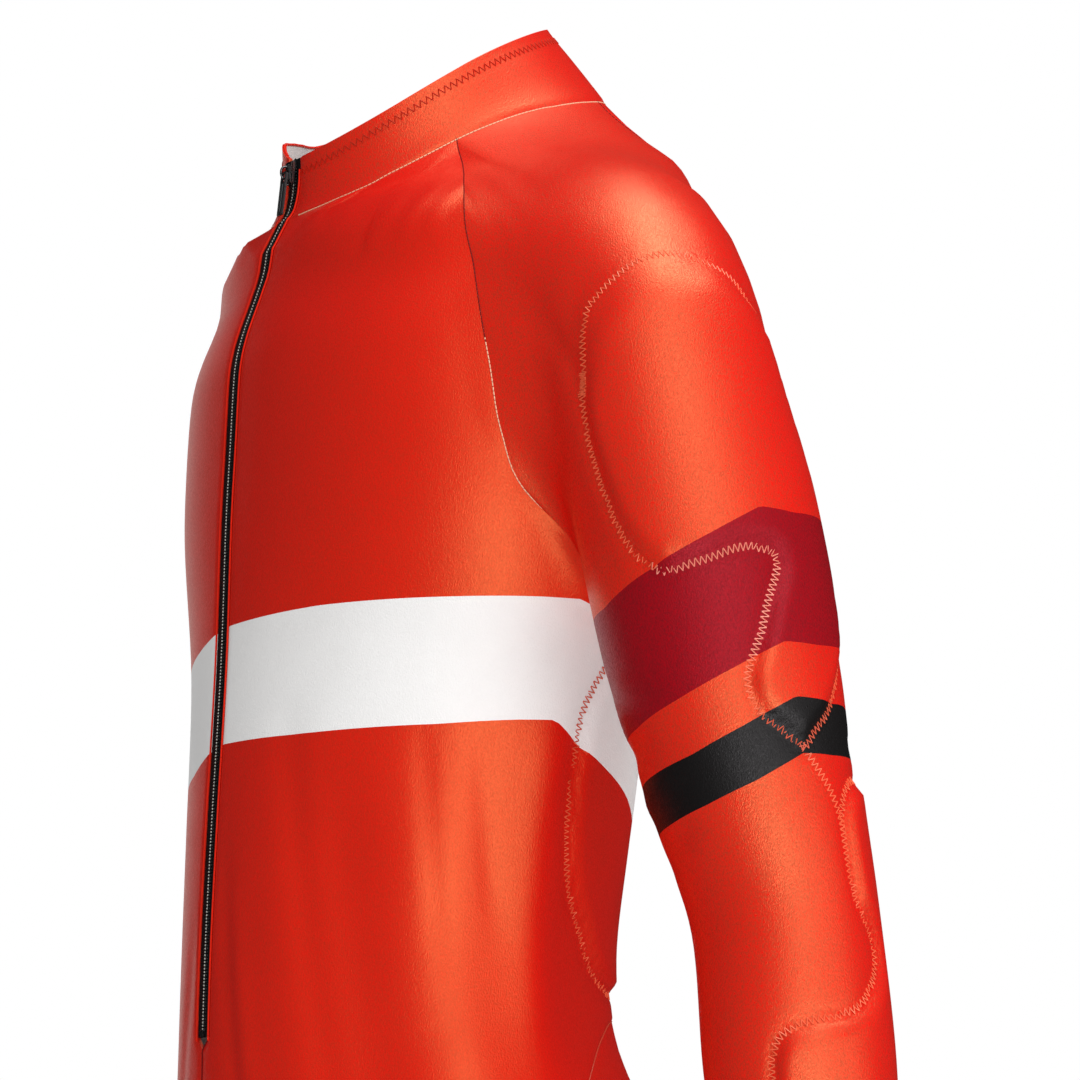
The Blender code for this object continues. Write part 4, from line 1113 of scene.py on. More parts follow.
def add_math(tree, operation, first, second=None):
    """A Math node fed by sockets or numbers. Returns its output."""
    made = tree.nodes.new("ShaderNodeMath")
    made.operation = operation
    for slot, value in zip(made.inputs, (first, second)):
        if value is None:
            continue
        if isinstance(value, (int, float)):
            slot.default_value = value
        else:
            tree.links.new(value, slot)
    return made.outputs[0]


def new_group(name, inputs, outputs):
    """An empty shader group with named sockets. Returns it with its two ends."""
    group = bpy.data.node_groups.new(name, "ShaderNodeTree")
    for label, kind, value in inputs:
        socket = group.interface.new_socket(label, in_out="INPUT", socket_type=kind)
        socket.default_value = value
    for label, kind in outputs:
        group.interface.new_socket(label, in_out="OUTPUT", socket_type=kind)
    return group, group.nodes.new("NodeGroupInput"), group.nodes.new("NodeGroupOutput")


FLOAT = "NodeSocketFloat"

# %% The knit's grain
def make_knit_group():
    group, start, end = new_group(
        "satin_knit", [("Loops Per Metre", FLOAT, 900.0), ("Glitter", FLOAT, 0.5)],
        [("Height", FLOAT), ("Shade", FLOAT), ("Roughness Change", FLOAT)])
    where = add_node(group, "ShaderNodeTexCoord")
    stretch = add_node(group, "ShaderNodeMapping")
    stretch.inputs["Scale"].default_value = (1.0, 1.0, 0.62)
    group.links.new(where.outputs["Object"], stretch.inputs["Vector"])
    loops = add_node(group, "ShaderNodeTexNoise", Detail=2.0, Roughness=0.62)
    group.links.new(stretch.outputs[0], loops.inputs["Vector"])
    group.links.new(start.outputs["Loops Per Metre"], loops.inputs["Scale"])
    cells = add_node(group, "ShaderNodeTexVoronoi")
    group.links.new(stretch.outputs[0], cells.inputs["Vector"])
    group.links.new(add_math(group, "MULTIPLY", start.outputs["Loops Per Metre"], 1.25),
                    cells.inputs["Scale"])
    patches = add_node(group, "ShaderNodeTexNoise", Scale=24.0, Detail=3.0)
    group.links.new(where.outputs["Object"], patches.inputs["Vector"])
    bumps = add_math(group, "MULTIPLY", cells.outputs["Distance"], -0.45)
    group.links.new(add_math(group, "ADD", loops.outputs["Fac"], bumps), end.inputs["Height"])
    spark = add_math(group, "SUBTRACT", loops.outputs["Fac"], 0.5)
    spark = add_math(group, "MULTIPLY", spark, start.outputs["Glitter"])
    drift = add_math(group, "SUBTRACT", patches.outputs["Fac"], 0.5)
    drift = add_math(group, "MULTIPLY", drift, 0.10)
    shade = add_math(group, "ADD", add_math(group, "ADD", spark, drift), 1.0)
    group.links.new(shade, end.inputs["Shade"])
    group.links.new(add_math(group, "MULTIPLY", spark, -0.5), end.inputs["Roughness Change"])
    return group


knit_group = make_knit_group()
print("knit group puts out", [item.name for item in knit_group.interface.items_tree
                              if item.in_out == "OUTPUT"])

# %% [markdown]
# ## The cloth's materials
# Red satin has a plain, deep red under a glossy orange face, so its reflection is tinted and
# strong, while its base stays dark in green and blue. The printed colours share the knit's
# grain and differ in base, tint and roughness. Near a stitch the grain turns into puckers.

# %% Cloth materials
ClothLook = namedtuple("ClothLook", "name base tint index roughness glitter")
LOOKS = [                  # in the order of the material slots
    ClothLook("red_satin", (0.690, 0.001, 0.002), (1.0, 0.52, 0.20), 2.12, 0.38, 1.30),
    ClothLook("white_inside", (0.800, 0.730, 0.710), (1.0, 1.0, 1.0), 1.30, 0.80, 0.10),
    ClothLook("white_satin", (0.860, 0.850, 0.840), (1.0, 1.0, 1.0), 1.40, 0.50, 0.05),
    ClothLook("crimson_satin", (0.270, 0.001, 0.005), (1.0, 0.18, 0.24), 1.60, 0.42, 1.50),
    ClothLook("black_satin", (0.007, 0.006, 0.006), (1.0, 0.96, 0.98), 1.38, 0.46, 1.80),
]
RED_PLAIN = ClothLook("red_plain_knit", (0.700, 0.001, 0.002), (1.0, 0.44, 0.15), 2.05, 0.37,
                      0.65)
KNIT_LOOPS = 1250.0         # loops per metre
PUCKER_REACH = 0.0075      # metres from a stitch line


def scaled_colour(tree, colour, shade):
    """A colour times a value that changes over the surface."""
    scaled = add_node(tree, "ShaderNodeVectorMath", operation="SCALE")
    scaled.inputs[0].default_value = colour
    tree.links.new(shade, scaled.inputs["Scale"])
    return scaled.outputs["Vector"]


def new_material(name, **sockets):
    """A material, its tree and its Principled shader with these constant sockets."""
    material = bpy.data.materials.new(name)
    material.use_nodes = True
    shader = material.node_tree.nodes["Principled BSDF"]
    for label, value in sockets.items():
        shader.inputs[label.replace("_", " ")].default_value = value
    return material, material.node_tree, shader


def puckers(tree):
    """Small uneven bumps that fade away from the stitch lines."""
    where = add_node(tree, "ShaderNodeTexCoord")
    bumps = add_node(tree, "ShaderNodeTexNoise", Scale=330.0, Detail=1.0)
    tree.links.new(where.outputs["Object"], bumps.inputs["Vector"])
    gap = add_node(tree, "ShaderNodeAttribute", attribute_name="stitch_gap")
    near = add_node(tree, "ShaderNodeMapRange")
    near.inputs["From Max"].default_value = PUCKER_REACH
    near.inputs["To Min"].default_value = 3.0
    near.inputs["To Max"].default_value = 0.0
    tree.links.new(gap.outputs["Fac"], near.inputs["Value"])
    return add_math(tree, "MULTIPLY", bumps.outputs["Fac"], near.outputs["Result"])


def make_cloth(look):
    material, tree, shader = new_material(look.name, Specular_IOR_Level=0.6, IOR=look.index,
                                          Specular_Tint=(*look.tint, 1))
    knit = add_node(tree, "ShaderNodeGroup", node_tree=knit_group)
    knit.inputs["Loops Per Metre"].default_value = KNIT_LOOPS
    knit.inputs["Glitter"].default_value = look.glitter
    tree.links.new(scaled_colour(tree, look.base, knit.outputs["Shade"]),
                   shader.inputs["Base Color"])
    tree.links.new(add_math(tree, "ADD", knit.outputs["Roughness Change"], look.roughness),
                   shader.inputs["Roughness"])
    bump = add_node(tree, "ShaderNodeBump", Strength=0.60, Distance=0.00027)
    tree.links.new(add_math(tree, "ADD", knit.outputs["Height"], puckers(tree)),
                   bump.inputs["Height"])
    tree.links.new(bump.outputs["Normal"], shader.inputs["Normal"])
    return material


CLOTHS = [make_cloth(look) for look in LOOKS]
BODY_RED = make_cloth(RED_PLAIN)   # the fronts, back and legs are smoother than the sleeves
BAND_SLOTS = {"white_band": 2, "crimson_band": 3, "black_band": 4}
print("materials:", [material.name for material in CLOTHS])

# %% [markdown]
# ## Cutting the bands into the mesh
# Each edge that crosses a band's border gets a new point where the stored distance is zero,
# and the faces there are split between such points. So the border is a true line of edges,
# and the faces inside get the band's material.

# %% Band borders
def cut_bands(mesh):
    """Split the faces along each band's border and give the inside its own material."""
    shape = bmesh.new()
    shape.from_mesh(mesh)
    for name, slot in BAND_SLOTS.items():
        layer = shape.verts.layers.float.get(name)
        if layer is None:
            continue
        crossing = [edge for edge in shape.edges
                    if (edge.verts[0][layer] > 0) != (edge.verts[1][layer] > 0)]
        border = set()
        for edge in crossing:
            start, end = edge.verts
            share = start[layer] / (start[layer] - end[layer])
            _, point = bmesh.utils.edge_split(edge, start, min(max(share, 0.001), 0.999))
            point[layer] = 0.0
            border.add(point)
        for face in list(shape.faces):
            met = [point for point in face.verts if point in border]
            if len(met) == 2 and shape.edges.get(met) is None:
                bmesh.utils.face_split(face, met[0], met[1])
        for face in shape.faces:
            if face.material_index != 1 and sum(point[layer] for point in face.verts) > 0:
                face.material_index = slot
    shape.to_mesh(mesh)
    shape.free()


print("bands get slots", BAND_SLOTS)

# %% [markdown]
# ## The panels
# Every panel is a stretched sheet of knit. The part's record says how the suit is held, so
# each panel rides on the suit's body and stands for its own solid.

# %% Panel builder
FlatCut = namedtuple("FlatCut", "width length area")


def panel_facts(kind, points):
    """Bands, relief and nearness to stitches at each point of a panel."""
    facts = {"stitch_gap": np.full(len(points), 1.0)}
    lift = np.zeros(len(points))
    left = points * [-1, 1, 1] if points[:, 0].mean() < -0.02 else points
    if kind in PADS:
        distances = pad_distances(left, PADS[kind])
        lift += pad_relief(distances)
        facts["stitch_gap"] = np.min(np.abs(distances), axis=0)
    if kind == "sleeve":
        facts.update(sleeve_bands(left))
        lift += crease_relief(left, ARM_TUBE, ARM_RADIUS, SLEEVE_CREASES)
    if kind in ("front", "back"):
        facts.update(chest_band(points))
        lift += crease_relief(points, TRUNK_TUBE, TRUNK_RADIUS, BODY_CREASES)
    return facts, lift


def settled(normal, ring):
    """Normals averaged with their neighbours, so that none strays in a tight corner."""
    for _ in range(3):
        wide = np.pad(normal, ((0, 0), (1, 1), (0, 0)), mode="wrap" if ring else "edge")
        wide = np.pad(wide, ((1, 1), (0, 0), (0, 0)), mode="edge")
        normal = unit(normal + wide[:-2, 1:-1] + wide[2:, 1:-1] + wide[1:-1, :-2]
                      + wide[1:-1, 2:])
    return normal


def cloth_panel(name, grid, kind, thick, ring=False, right=False):
    """One finished panel: walls, relief, bands, material and its place in the frame."""
    part = "sleeve" if kind == "sleeve" else "body"
    normal = settled(outward(grid, part), ring)
    outer = draw_back(grid, normal, ring)
    if right:
        grid, normal, outer = mirror(grid), mirror(normal), mirror(outer)
    facts, lift = panel_facts(kind, grid.reshape(-1, 3))
    fade = edge_fade(grid.shape[:2], ring, sewn_end=not ring and kind != "collar")
    lift = lift.reshape(grid.shape[:2]) * fade - SEAM_DIP * (fade == 0)
    inner = outer - normal * (thick - np.minimum(lift, 0)[..., None])
    outer = outer + normal * lift[..., None]
    way = np.cross(grid[1, 1] - grid[1, 0], grid[2, 0] - grid[1, 0]) @ normal[1, 0]
    mesh = wall_mesh(name, outer, inner, ring, bool(way < 0), facts)
    red = CLOTHS[0] if kind in ("sleeve", "collar") else BODY_RED
    for material in [red] + CLOTHS[1:]:
        mesh.materials.append(material)
    cut_bands(mesh)
    return placed(name, mesh)


def cloth_area(panel):
    return sum(face.area for face in panel.data.polygons) / 2


def declare_panel(panel, node):
    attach(panel, "suit")
    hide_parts(node)


# %% Sew the panels
for side in ("left", "right"):
    right = side == "right"
    for kind, grid, ring in (("front", fine_front, False), ("sleeve", fine_sleeve, True),
                             ("leg", fine_leg, True)):
        panel = cloth_panel(f"{kind}_{side}_cloth", grid, kind, CLOTH, ring, right)
        declare_panel(panel, f"{kind}_{side}")
        print(panel.name, len(panel.data.polygons), "faces,", round(cloth_area(panel), 3),
              "m2 of cloth")
see_through_sleeve.objects.link(bpy.data.objects["sleeve_left_cloth"])
see_through_sleeve.collection_objects[0].light_linking.link_state = "EXCLUDE"
panel = cloth_panel("back_cloth", fine_back, "back", CLOTH)
declare_panel(panel, "back")
print(panel.name, round(cloth_area(panel), 3), "m2 of cloth")

# %% [markdown]
# ## The collar
# The stand-up collar ends at the zip. On the wearer's right the cloth is free above the
# slider: a fold two fingers from the zip stands up as a corner, and the edge behind it
# leans inward, so the white inner side shows. The edge is moved at a few listed places.

# %% Collar
EdgeMove = namedtuple("EdgeMove", "from_zip along_x along_y up")
EDGE_MOVES = [
    EdgeMove(0.000, 0.0000, 0.0000, 0.0022), EdgeMove(0.012, -0.0005, -0.0005, 0.0080),
    EdgeMove(0.022, -0.0005, -0.0002, 0.0124), EdgeMove(0.034, 0.0010, 0.0030, 0.0118),
    EdgeMove(0.045, 0.0015, 0.0048, 0.0100), EdgeMove(0.066, 0.0010, 0.0028, 0.0046),
    EdgeMove(0.090, 0.0000, 0.0000, 0.0000),
]


def flared(grid):
    """The collar's grid with its right front edge standing up in a corner."""
    step = np.linalg.norm(np.diff(grid, axis=1), axis=2)
    from_end = np.concatenate([np.cumsum(step[:, ::-1], axis=1)[:, ::-1],
                               np.zeros((len(grid), 1))], axis=1)
    height = np.linspace(0, 1, len(grid))[:, None]
    moves = np.array(EDGE_MOVES)
    shift = np.stack([np.interp(from_end, moves[:, 0], moves[:, k]) for k in (1, 2, 3)], -1)
    return grid + (height**1.5)[..., None] * shift


worn_collar = flared(fine_collar)
collar = cloth_panel("collar_cloth", worn_collar, "collar", COLLAR_CLOTH)
declare_panel(collar, "collar")
print(collar.name, round(cloth_area(collar), 4), "m2 of cloth")

# %% [markdown]
# ## Thread
# The zigzag is sewn in a shiny orange polyester. Its gloss is painted into lighter copies of it:
# a pale one where it lies on the red cloth and a pinkish one on the crimson print, while it is
# plainly orange on the black and white ones. The seams have cream thread, with a dark copy as
# painted shade where a seam lies in shadow, and the collar's top edge has a darker red copy,
# also painted shade.

# %% Thread materials
def plain_material(name, colour, roughness, metallic=0.0, level=0.5, tint=(1, 1, 1)):
    material, _, shader = new_material(name, Roughness=roughness, Metallic=metallic,
                                       Specular_IOR_Level=level, Specular_Tint=(*tint, 1))
    shader.inputs["Base Color"].default_value = (*colour, 1)
    return material


# Copies of the one orange thread: the pale one on the red cloth and the pink one on the crimson
# print carry a painted highlight of its gloss.
thread_on_red_painted_gloss = plain_material("thread_on_red_painted_gloss", (0.84, 0.115, 0.045), 0.34, level=1.0,
                             tint=(1, 0.8, 0.6))
thread_on_crimson_painted_gloss = plain_material("thread_on_crimson_painted_gloss", (0.80, 0.20, 0.13), 0.36, level=0.9)
orange_thread = plain_material("orange_thread", (0.62, 0.085, 0.035), 0.40, level=0.6)
# A darker copy of the thread for the collar's top edge: painted shade.
shadow_thread = plain_material("red_thread", (0.42, 0.010, 0.004), 0.50, level=0.5,
                               tint=(1, 0.4, 0.2))
cream_thread = plain_material("cream_thread", (0.84, 0.56, 0.36), 0.45)
# A dark copy of the seam thread for seams in shadow: painted shade.
painted_shade_thread = plain_material("dark_red_thread", (0.16, 0.004, 0.004), 0.6, level=0.2)
print("thread:", thread_on_red_painted_gloss.name, orange_thread.name, cream_thread.name, painted_shade_thread.name)

# %% [markdown]
# ## Laying lines on the cloth
# A stitch line starts as spots on a tube. Each spot is brought onto the form and then onto
# the finished panel, whichever way the creases have moved it. Spots that miss the panel are
# hidden behind a seam, so the line is cut there, and it changes to another copy of the thread,
# with its gloss painted in differently, where the print changes.

# %% Lines on panels
StitchRun = namedtuple("StitchRun", "points stands material")


def spots_to_points(rows, angles, tube, part):
    raw = [tube.ring(row * STEPS, [angle])[0] for row, angle in zip(rows, angles)]
    return settle(np.array(raw), part)


def surface_of(panel):
    """A panel's faces, ready to be asked for the nearest place."""
    return BVHTree.FromPolygons([vertex.co for vertex in panel.data.vertices],
                                [face.vertices for face in panel.data.polygons])


def on_panel(points, panel, reach=0.0080):
    """Nearest places on a panel, its normals, and which points really meet it."""
    tree = surface_of(panel)
    places, normals, met = [], [], []
    for point in points:
        place, normal, _, distance = tree.find_nearest(Vector(point))
        places.append(place)
        normals.append(normal)
        met.append(distance < reach)
    return np.array(places), np.array(normals), np.array(met)


def thread_for(panel, points, on_print, elsewhere):
    """The thread at each point, by the material of the cloth below it."""
    tree = surface_of(panel)
    slots = [panel.data.polygons[tree.find_nearest(Vector(p))[2]].material_index for p in points]
    # The copy of the thread, with or without its painted gloss, follows the cloth below.
    on_print = {BAND_SLOTS["white_band"]: on_print, BAND_SLOTS["black_band"]: on_print,
                BAND_SLOTS["crimson_band"]: thread_on_crimson_painted_gloss}
    return [on_print.get(slot, elsewhere) for slot in slots]


def runs_on(panel, points, on_print=orange_thread, elsewhere=thread_on_red_painted_gloss):
    """Cut a line into runs that lie on the panel and keep one thread each."""
    places, normals, met = on_panel(points, panel)
    threads = thread_for(panel, places, on_print, elsewhere)
    runs, start = [], 0
    for i in range(1, len(places) + 1):
        ended = i == len(places) or not met[i] or not met[start] or threads[i] != threads[start]
        if ended:
            if met[start] and i - start > 1:
                last = min(i + 1, len(places)) if i < len(places) and met[i] else i
                runs.append(StitchRun(places[start:last], normals[start:last], threads[start]))
            start = i
    return runs


def pad_line(pad, part, closed=True):
    """A pad's outline, or an open line, as evenly spaced points on the form."""
    if closed:
        outline = smooth_outline(pad)
        outline = np.vstack([outline, outline[:1]])
    else:
        outline = spline([list(spot) for spot in pad.spots], 3)
    points = spots_to_points(outline[:, 0], outline[:, 1], pad.tube, part)
    return even(points, int(np.linalg.norm(np.diff(points, axis=0), axis=1).sum() / 0.0025))


# %% [markdown]
# ## Zigzag stitching
# A Geometry Nodes tree lays one V of thread at every pitch along a line. It reads the way
# up from the cloth from an attribute, so that each V lies flat on the surface, and it is
# used by every stitch line with its own numbers.

# %% Zigzag tree
def tree_sockets(name, floats):
    """A geometry tree with float inputs and a material input. Returns its parts."""
    tree = bpy.data.node_groups.new(name, "GeometryNodeTree")
    tree.interface.new_socket("Geometry", in_out="INPUT", socket_type="NodeSocketGeometry")
    for label, value in floats.items():
        socket = tree.interface.new_socket(label, in_out="INPUT", socket_type="NodeSocketFloat")
        socket.default_value = value
    tree.interface.new_socket("Material", in_out="INPUT", socket_type="NodeSocketMaterial")
    tree.interface.new_socket("Geometry", in_out="OUTPUT", socket_type="NodeSocketGeometry")
    return tree, tree.nodes.new("NodeGroupInput"), tree.nodes.new("NodeGroupOutput")


def aligned_points(tree, start):
    """Evenly spaced points on the incoming line, and the turn of a stitch on each."""
    curve = tree.nodes.new("GeometryNodeMeshToCurve")
    spaced = tree.nodes.new("GeometryNodeResampleCurve")
    if "Mode" in spaced.inputs:
        spaced.inputs["Mode"].default_value = "Length"
    else:
        spaced.mode = "LENGTH"
    tree.links.new(start.outputs["Geometry"], curve.inputs[0])
    tree.links.new(curve.outputs[0], spaced.inputs["Curve"])
    tree.links.new(start.outputs["Pitch"], spaced.inputs["Length"])
    tangent = tree.nodes.new("GeometryNodeInputTangent")
    stand = tree.nodes.new("GeometryNodeInputNamedAttribute")
    stand.data_type = "FLOAT_VECTOR"
    stand.inputs["Name"].default_value = "stand"
    along = tree.nodes.new("FunctionNodeAlignRotationToVector")
    along.axis = "X"
    upright = tree.nodes.new("FunctionNodeAlignRotationToVector")
    upright.axis, upright.pivot_axis = "Z", "X"
    tree.links.new(tangent.outputs[0], along.inputs["Vector"])
    tree.links.new(along.outputs[0], upright.inputs["Rotation"])
    tree.links.new(stand.outputs["Attribute"], upright.inputs["Vector"])
    place = tree.nodes.new("GeometryNodeInstanceOnPoints")
    tree.links.new(spaced.outputs[0], place.inputs["Points"])
    tree.links.new(upright.outputs[0], place.inputs["Rotation"])
    return place


def finish_tree(tree, start, end, instances):
    real = tree.nodes.new("GeometryNodeRealizeInstances")
    paint = tree.nodes.new("GeometryNodeSetMaterial")
    tree.links.new(instances.outputs[0], real.inputs[0])
    tree.links.new(real.outputs[0], paint.inputs["Geometry"])
    tree.links.new(start.outputs["Material"], paint.inputs["Material"])
    tree.links.new(paint.outputs[0], end.inputs[0])


def zigzag_tree():
    tree, start, end = tree_sockets("zigzag_stitches", {"Pitch": 0.003, "Width": 0.004,
                                                        "Thread Radius": 0.0003})
    place = aligned_points(tree, start)
    half = add_math(tree, "MULTIPLY", start.outputs["Pitch"], 0.5)
    quarter = add_math(tree, "MULTIPLY", start.outputs["Pitch"], 0.25)
    squares = add_math(tree, "ADD", add_math(tree, "MULTIPLY", half, half),
                       add_math(tree, "MULTIPLY", start.outputs["Width"], start.outputs["Width"]))
    reach = add_math(tree, "SQRT", squares)
    turn = add_math(tree, "ARCTAN2", start.outputs["Width"], half)
    both = tree.nodes.new("GeometryNodeJoinGeometry")
    for sign in (1, -1):
        leg = tree.nodes.new("GeometryNodeMeshCylinder")
        leg.inputs["Vertices"].default_value = 6
        tree.links.new(start.outputs["Thread Radius"], leg.inputs["Radius"])
        tree.links.new(reach, leg.inputs["Depth"])
        angles = tree.nodes.new("ShaderNodeCombineXYZ")
        angles.inputs["Y"].default_value = math.pi / 2
        tree.links.new(add_math(tree, "MULTIPLY", turn, sign), angles.inputs["Z"])
        shift = tree.nodes.new("ShaderNodeCombineXYZ")
        tree.links.new(add_math(tree, "MULTIPLY", quarter, -sign), shift.inputs["X"])
        tree.links.new(add_math(tree, "MULTIPLY", start.outputs["Thread Radius"], 0.4),
                       shift.inputs["Z"])
        move = tree.nodes.new("GeometryNodeTransform")
        tree.links.new(leg.outputs["Mesh"], move.inputs["Geometry"])
        tree.links.new(angles.outputs[0], move.inputs["Rotation"])
        tree.links.new(shift.outputs[0], move.inputs["Translation"])
        tree.links.new(move.outputs[0], both.inputs[0])
    tree.links.new(both.outputs[0], place.inputs["Instance"])
    finish_tree(tree, start, end, place)
    return tree


zigzag = zigzag_tree()
print("zigzag tree has", len(zigzag.nodes), "nodes")

# %% Use a tree on a line
def line_object(name, points, stands):
    """A mesh line whose points carry the way up from the cloth."""
    mesh = bpy.data.meshes.new(name)
    mesh.from_pydata([tuple(p) for p in points], [(i, i + 1) for i in range(len(points) - 1)], [])
    stand = mesh.attributes.new("stand", "FLOAT_VECTOR", "POINT")
    stand.data.foreach_set("vector", np.asarray(stands, np.float32).ravel())
    return placed(name, mesh)


def grow(name, tree, points, stands, material, body="suit", **numbers):
    """Run a tree on a line and keep its real mesh."""
    line = line_object(name, points, stands)
    step = line.modifiers.new("tree", "NODES")
    step.node_group = tree
    inputs = {item.name: item.identifier for item in tree.interface.items_tree
              if item.in_out == "INPUT"}
    for label, value in numbers.items():
        step[inputs[label.replace("_", " ")]] = value
    step[inputs["Material"]] = material
    graph = bpy.context.evaluated_depsgraph_get()
    real = bpy.data.meshes.new_from_object(line.evaluated_get(graph))
    real.materials.clear()
    real.materials.append(material)
    real.polygons.foreach_set("material_index", [0] * len(real.polygons))
    line.modifiers.clear()
    line.data = real
    real.name = name
    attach(line, body)
    return line


def join_parts(name, parts):
    """Several objects of one material as one."""
    shape = bmesh.new()
    for part in parts:
        shape.from_mesh(part.data)
    mesh = bpy.data.meshes.new(name)
    shape.to_mesh(mesh)
    shape.free()
    mesh.materials.append(parts[0].data.materials[0])
    for part in parts:
        bpy.data.objects.remove(part)
    return placed(name, mesh)


def sew(name, runs, tree, **numbers):
    """One object for each thread of a line's runs."""
    made = []
    for thread in {run.material.name: run.material for run in runs}.values():
        parts = [grow(f"{name}_{i}", tree, run.points, run.stands, thread, **numbers)
                 for i, run in enumerate(runs) if run.material == thread]
        parts = [part for part in parts if len(part.data.polygons)]
        if not parts:
            continue
        whole = join_parts(f"{name}_{thread.name}", parts)
        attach(whole, "suit")
        made.append(whole)
    return made


# %% Sew the pads
ZIGZAG = {"Pitch": 0.0030, "Width": 0.0042, "Thread_Radius": 0.00032}
TACK = {"Pitch": 0.0013, "Width": 0.0070, "Thread_Radius": 0.00030}
pad_lines = [("upper_arm", "sleeve", PADS["sleeve"][0], ZIGZAG),
             ("forearm", "sleeve", PADS["sleeve"][1], ZIGZAG),
             ("elbow", "sleeve", Pad(ELBOW_LINE, ARM_TUBE, ARM_RADIUS), ZIGZAG),
             ("bartack", "sleeve", Pad(BARTACK, ARM_TUBE, ARM_RADIUS), TACK),
             ("ribs", "front", PADS["front"][0], ZIGZAG)]
sewn = []
for label, kind, pad, numbers in pad_lines:
    line = pad_line(pad, "sleeve" if kind == "sleeve" else "body",
                    closed=label not in ("elbow", "bartack"))
    for side in ("left", "right"):
        panel = bpy.data.objects[f"{kind}_{side}_cloth"]
        points = line if side == "left" else mirror(line)
        sewn += sew(f"zigzag_{label}_{side}", runs_on(panel, points), zigzag, **numbers)
print(len(sewn), "stitch objects,", sum(len(o.data.polygons) for o in sewn), "faces")

# %% Sew the collar's top edge
COLLAR_STITCH_DEPTH = 0.0076      # metres below the collar's top edge
height = np.linalg.norm(np.diff(worn_collar, axis=0), axis=2).sum(0).mean()
share = (1 - COLLAR_STITCH_DEPTH / height) * (len(worn_collar) - 1)
low = int(share)
stitch_row = worn_collar[low] * (1 - share + low) + worn_collar[low + 1] * (share - low)
# On the red collar the thread is its darker copy, painted shade.
topstitch = sew("zigzag_collar", runs_on(collar, stitch_row[1:-1], elsewhere=shadow_thread),
                zigzag, Pitch=0.0040, Width=0.0038, Thread_Radius=0.00030)
print("collar topstitch:", sum(len(o.data.polygons) for o in topstitch), "faces")

# %% [markdown]
# ## Seam lines
# Where two panels meet, the thread shows as a fine line in the groove. It is pale along the
# collar's base and the lower half of the raglan seams, and painted dark along their upper half,
# where the seam lies in its own shadow. The side, waist, back and middle seams get the same
# painted shade in their grooves.

# %% Straight stitches
def dash_tree():
    tree, start, end = tree_sockets("straight_stitches", {"Pitch": 0.0022, "Thread Radius": 0.0003,
                                                          "Fill": 0.8})
    place = aligned_points(tree, start)
    dash = tree.nodes.new("GeometryNodeMeshCylinder")
    dash.inputs["Vertices"].default_value = 6
    tree.links.new(start.outputs["Thread Radius"], dash.inputs["Radius"])
    tree.links.new(add_math(tree, "MULTIPLY", start.outputs["Pitch"], start.outputs["Fill"]),
                   dash.inputs["Depth"])
    turned = tree.nodes.new("GeometryNodeTransform")
    turned.inputs["Rotation"].default_value = (0, math.pi / 2, 0)
    tree.links.new(dash.outputs["Mesh"], turned.inputs["Geometry"])
    tree.links.new(turned.outputs[0], place.inputs["Instance"])
    finish_tree(tree, start, end, place)
    return tree


dashes = dash_tree()


def seam_run(line, thread, part="body", rise_by=-0.0006):
    normals = outward(line, part)
    return StitchRun(line + normals * rise_by, normals, thread)


DARK_SHARE = 0.47          # share of the front raglan seam that lies in its own shadow
half_way = int(len(seams["raglan_front"]) * DARK_SHARE)
# The dark thread is painted shade where a seam lies in shadow or deep in its groove.
seam_lines = {
    "collar_base": [seam_run(seams["neck"][2:], cream_thread)],
    "raglan_front": [seam_run(seams["raglan_front"][:half_way + 1], painted_shade_thread),
                     seam_run(seams["raglan_front"][half_way:-8], cream_thread)],
    "raglan_back": [seam_run(seams["raglan_back"][8:], painted_shade_thread)],
    "hip": [seam_run(seams["hip"][2:-2], orange_thread)],
    "side": [seam_run(seams["side"][8:], painted_shade_thread)],
    "waist": [seam_run(seams["waist"][1:-1], painted_shade_thread)],
}
for label, runs in seam_lines.items():
    for side in ("left", "right"):
        turned = runs if side == "left" else [
            StitchRun(mirror(run.points), mirror(run.stands), run.material) for run in runs]
        sew(f"seam_{label}_{side}", turned, dashes, Pitch=0.0024, Thread_Radius=0.00030, Fill=0.8)
below_zip = seams["centre_front"][len(seams["zip"]) + 1:-1]
for label, line in (("centre_front", below_zip), ("seat", seams["seat"][1:])):
    sew(f"seam_{label}", [seam_run(line, painted_shade_thread)], dashes, Pitch=0.0024,
        Thread_Radius=0.00045, Fill=1.0)
print("seam lines:", list(seam_lines), "and two on the middle")

# %% Folded edges beside the zip
EDGE_RADIUS = 0.00055      # the cloth is turned in along the zip, which leaves a thin roll, painted brighter red as a highlight
# The roll's form is real; its red, brighter than the cloth's, is a painted highlight. The collar's
# top edge gets the same roll.
edge_roll_painted_highlight = plain_material("edge_roll_painted_highlight", (0.82, 0.012, 0.004), 0.38, level=1.0,
                             tint=(1, 0.5, 0.25))
near_edge = np.vstack([fine_collar[::-1, 0], seams["zip"][1:]])
far_edge = np.vstack([worn_collar[::-1, -1], mirror(seams["zip"][1:])])
for side, edge in (("left", near_edge), ("right", far_edge)):
    sew(f"edge_{side}", [seam_run(edge[3:], edge_roll_painted_highlight, rise_by=-0.0001)], dashes, Pitch=0.0024,
        Thread_Radius=EDGE_RADIUS, Fill=1.1)
roll = seam_run(worn_collar[-1, 2:-2], edge_roll_painted_highlight, rise_by=-0.8 * COLLAR_CLOTH)
sew("edge_collar_top", [StitchRun(roll.points - [0, 0, 0.0005], roll.stands, edge_roll_painted_highlight)],
    dashes, Pitch=0.0024, Thread_Radius=0.0009, Fill=1.1)
print("folded edges on", len(near_edge), "and", len(far_edge), "points")

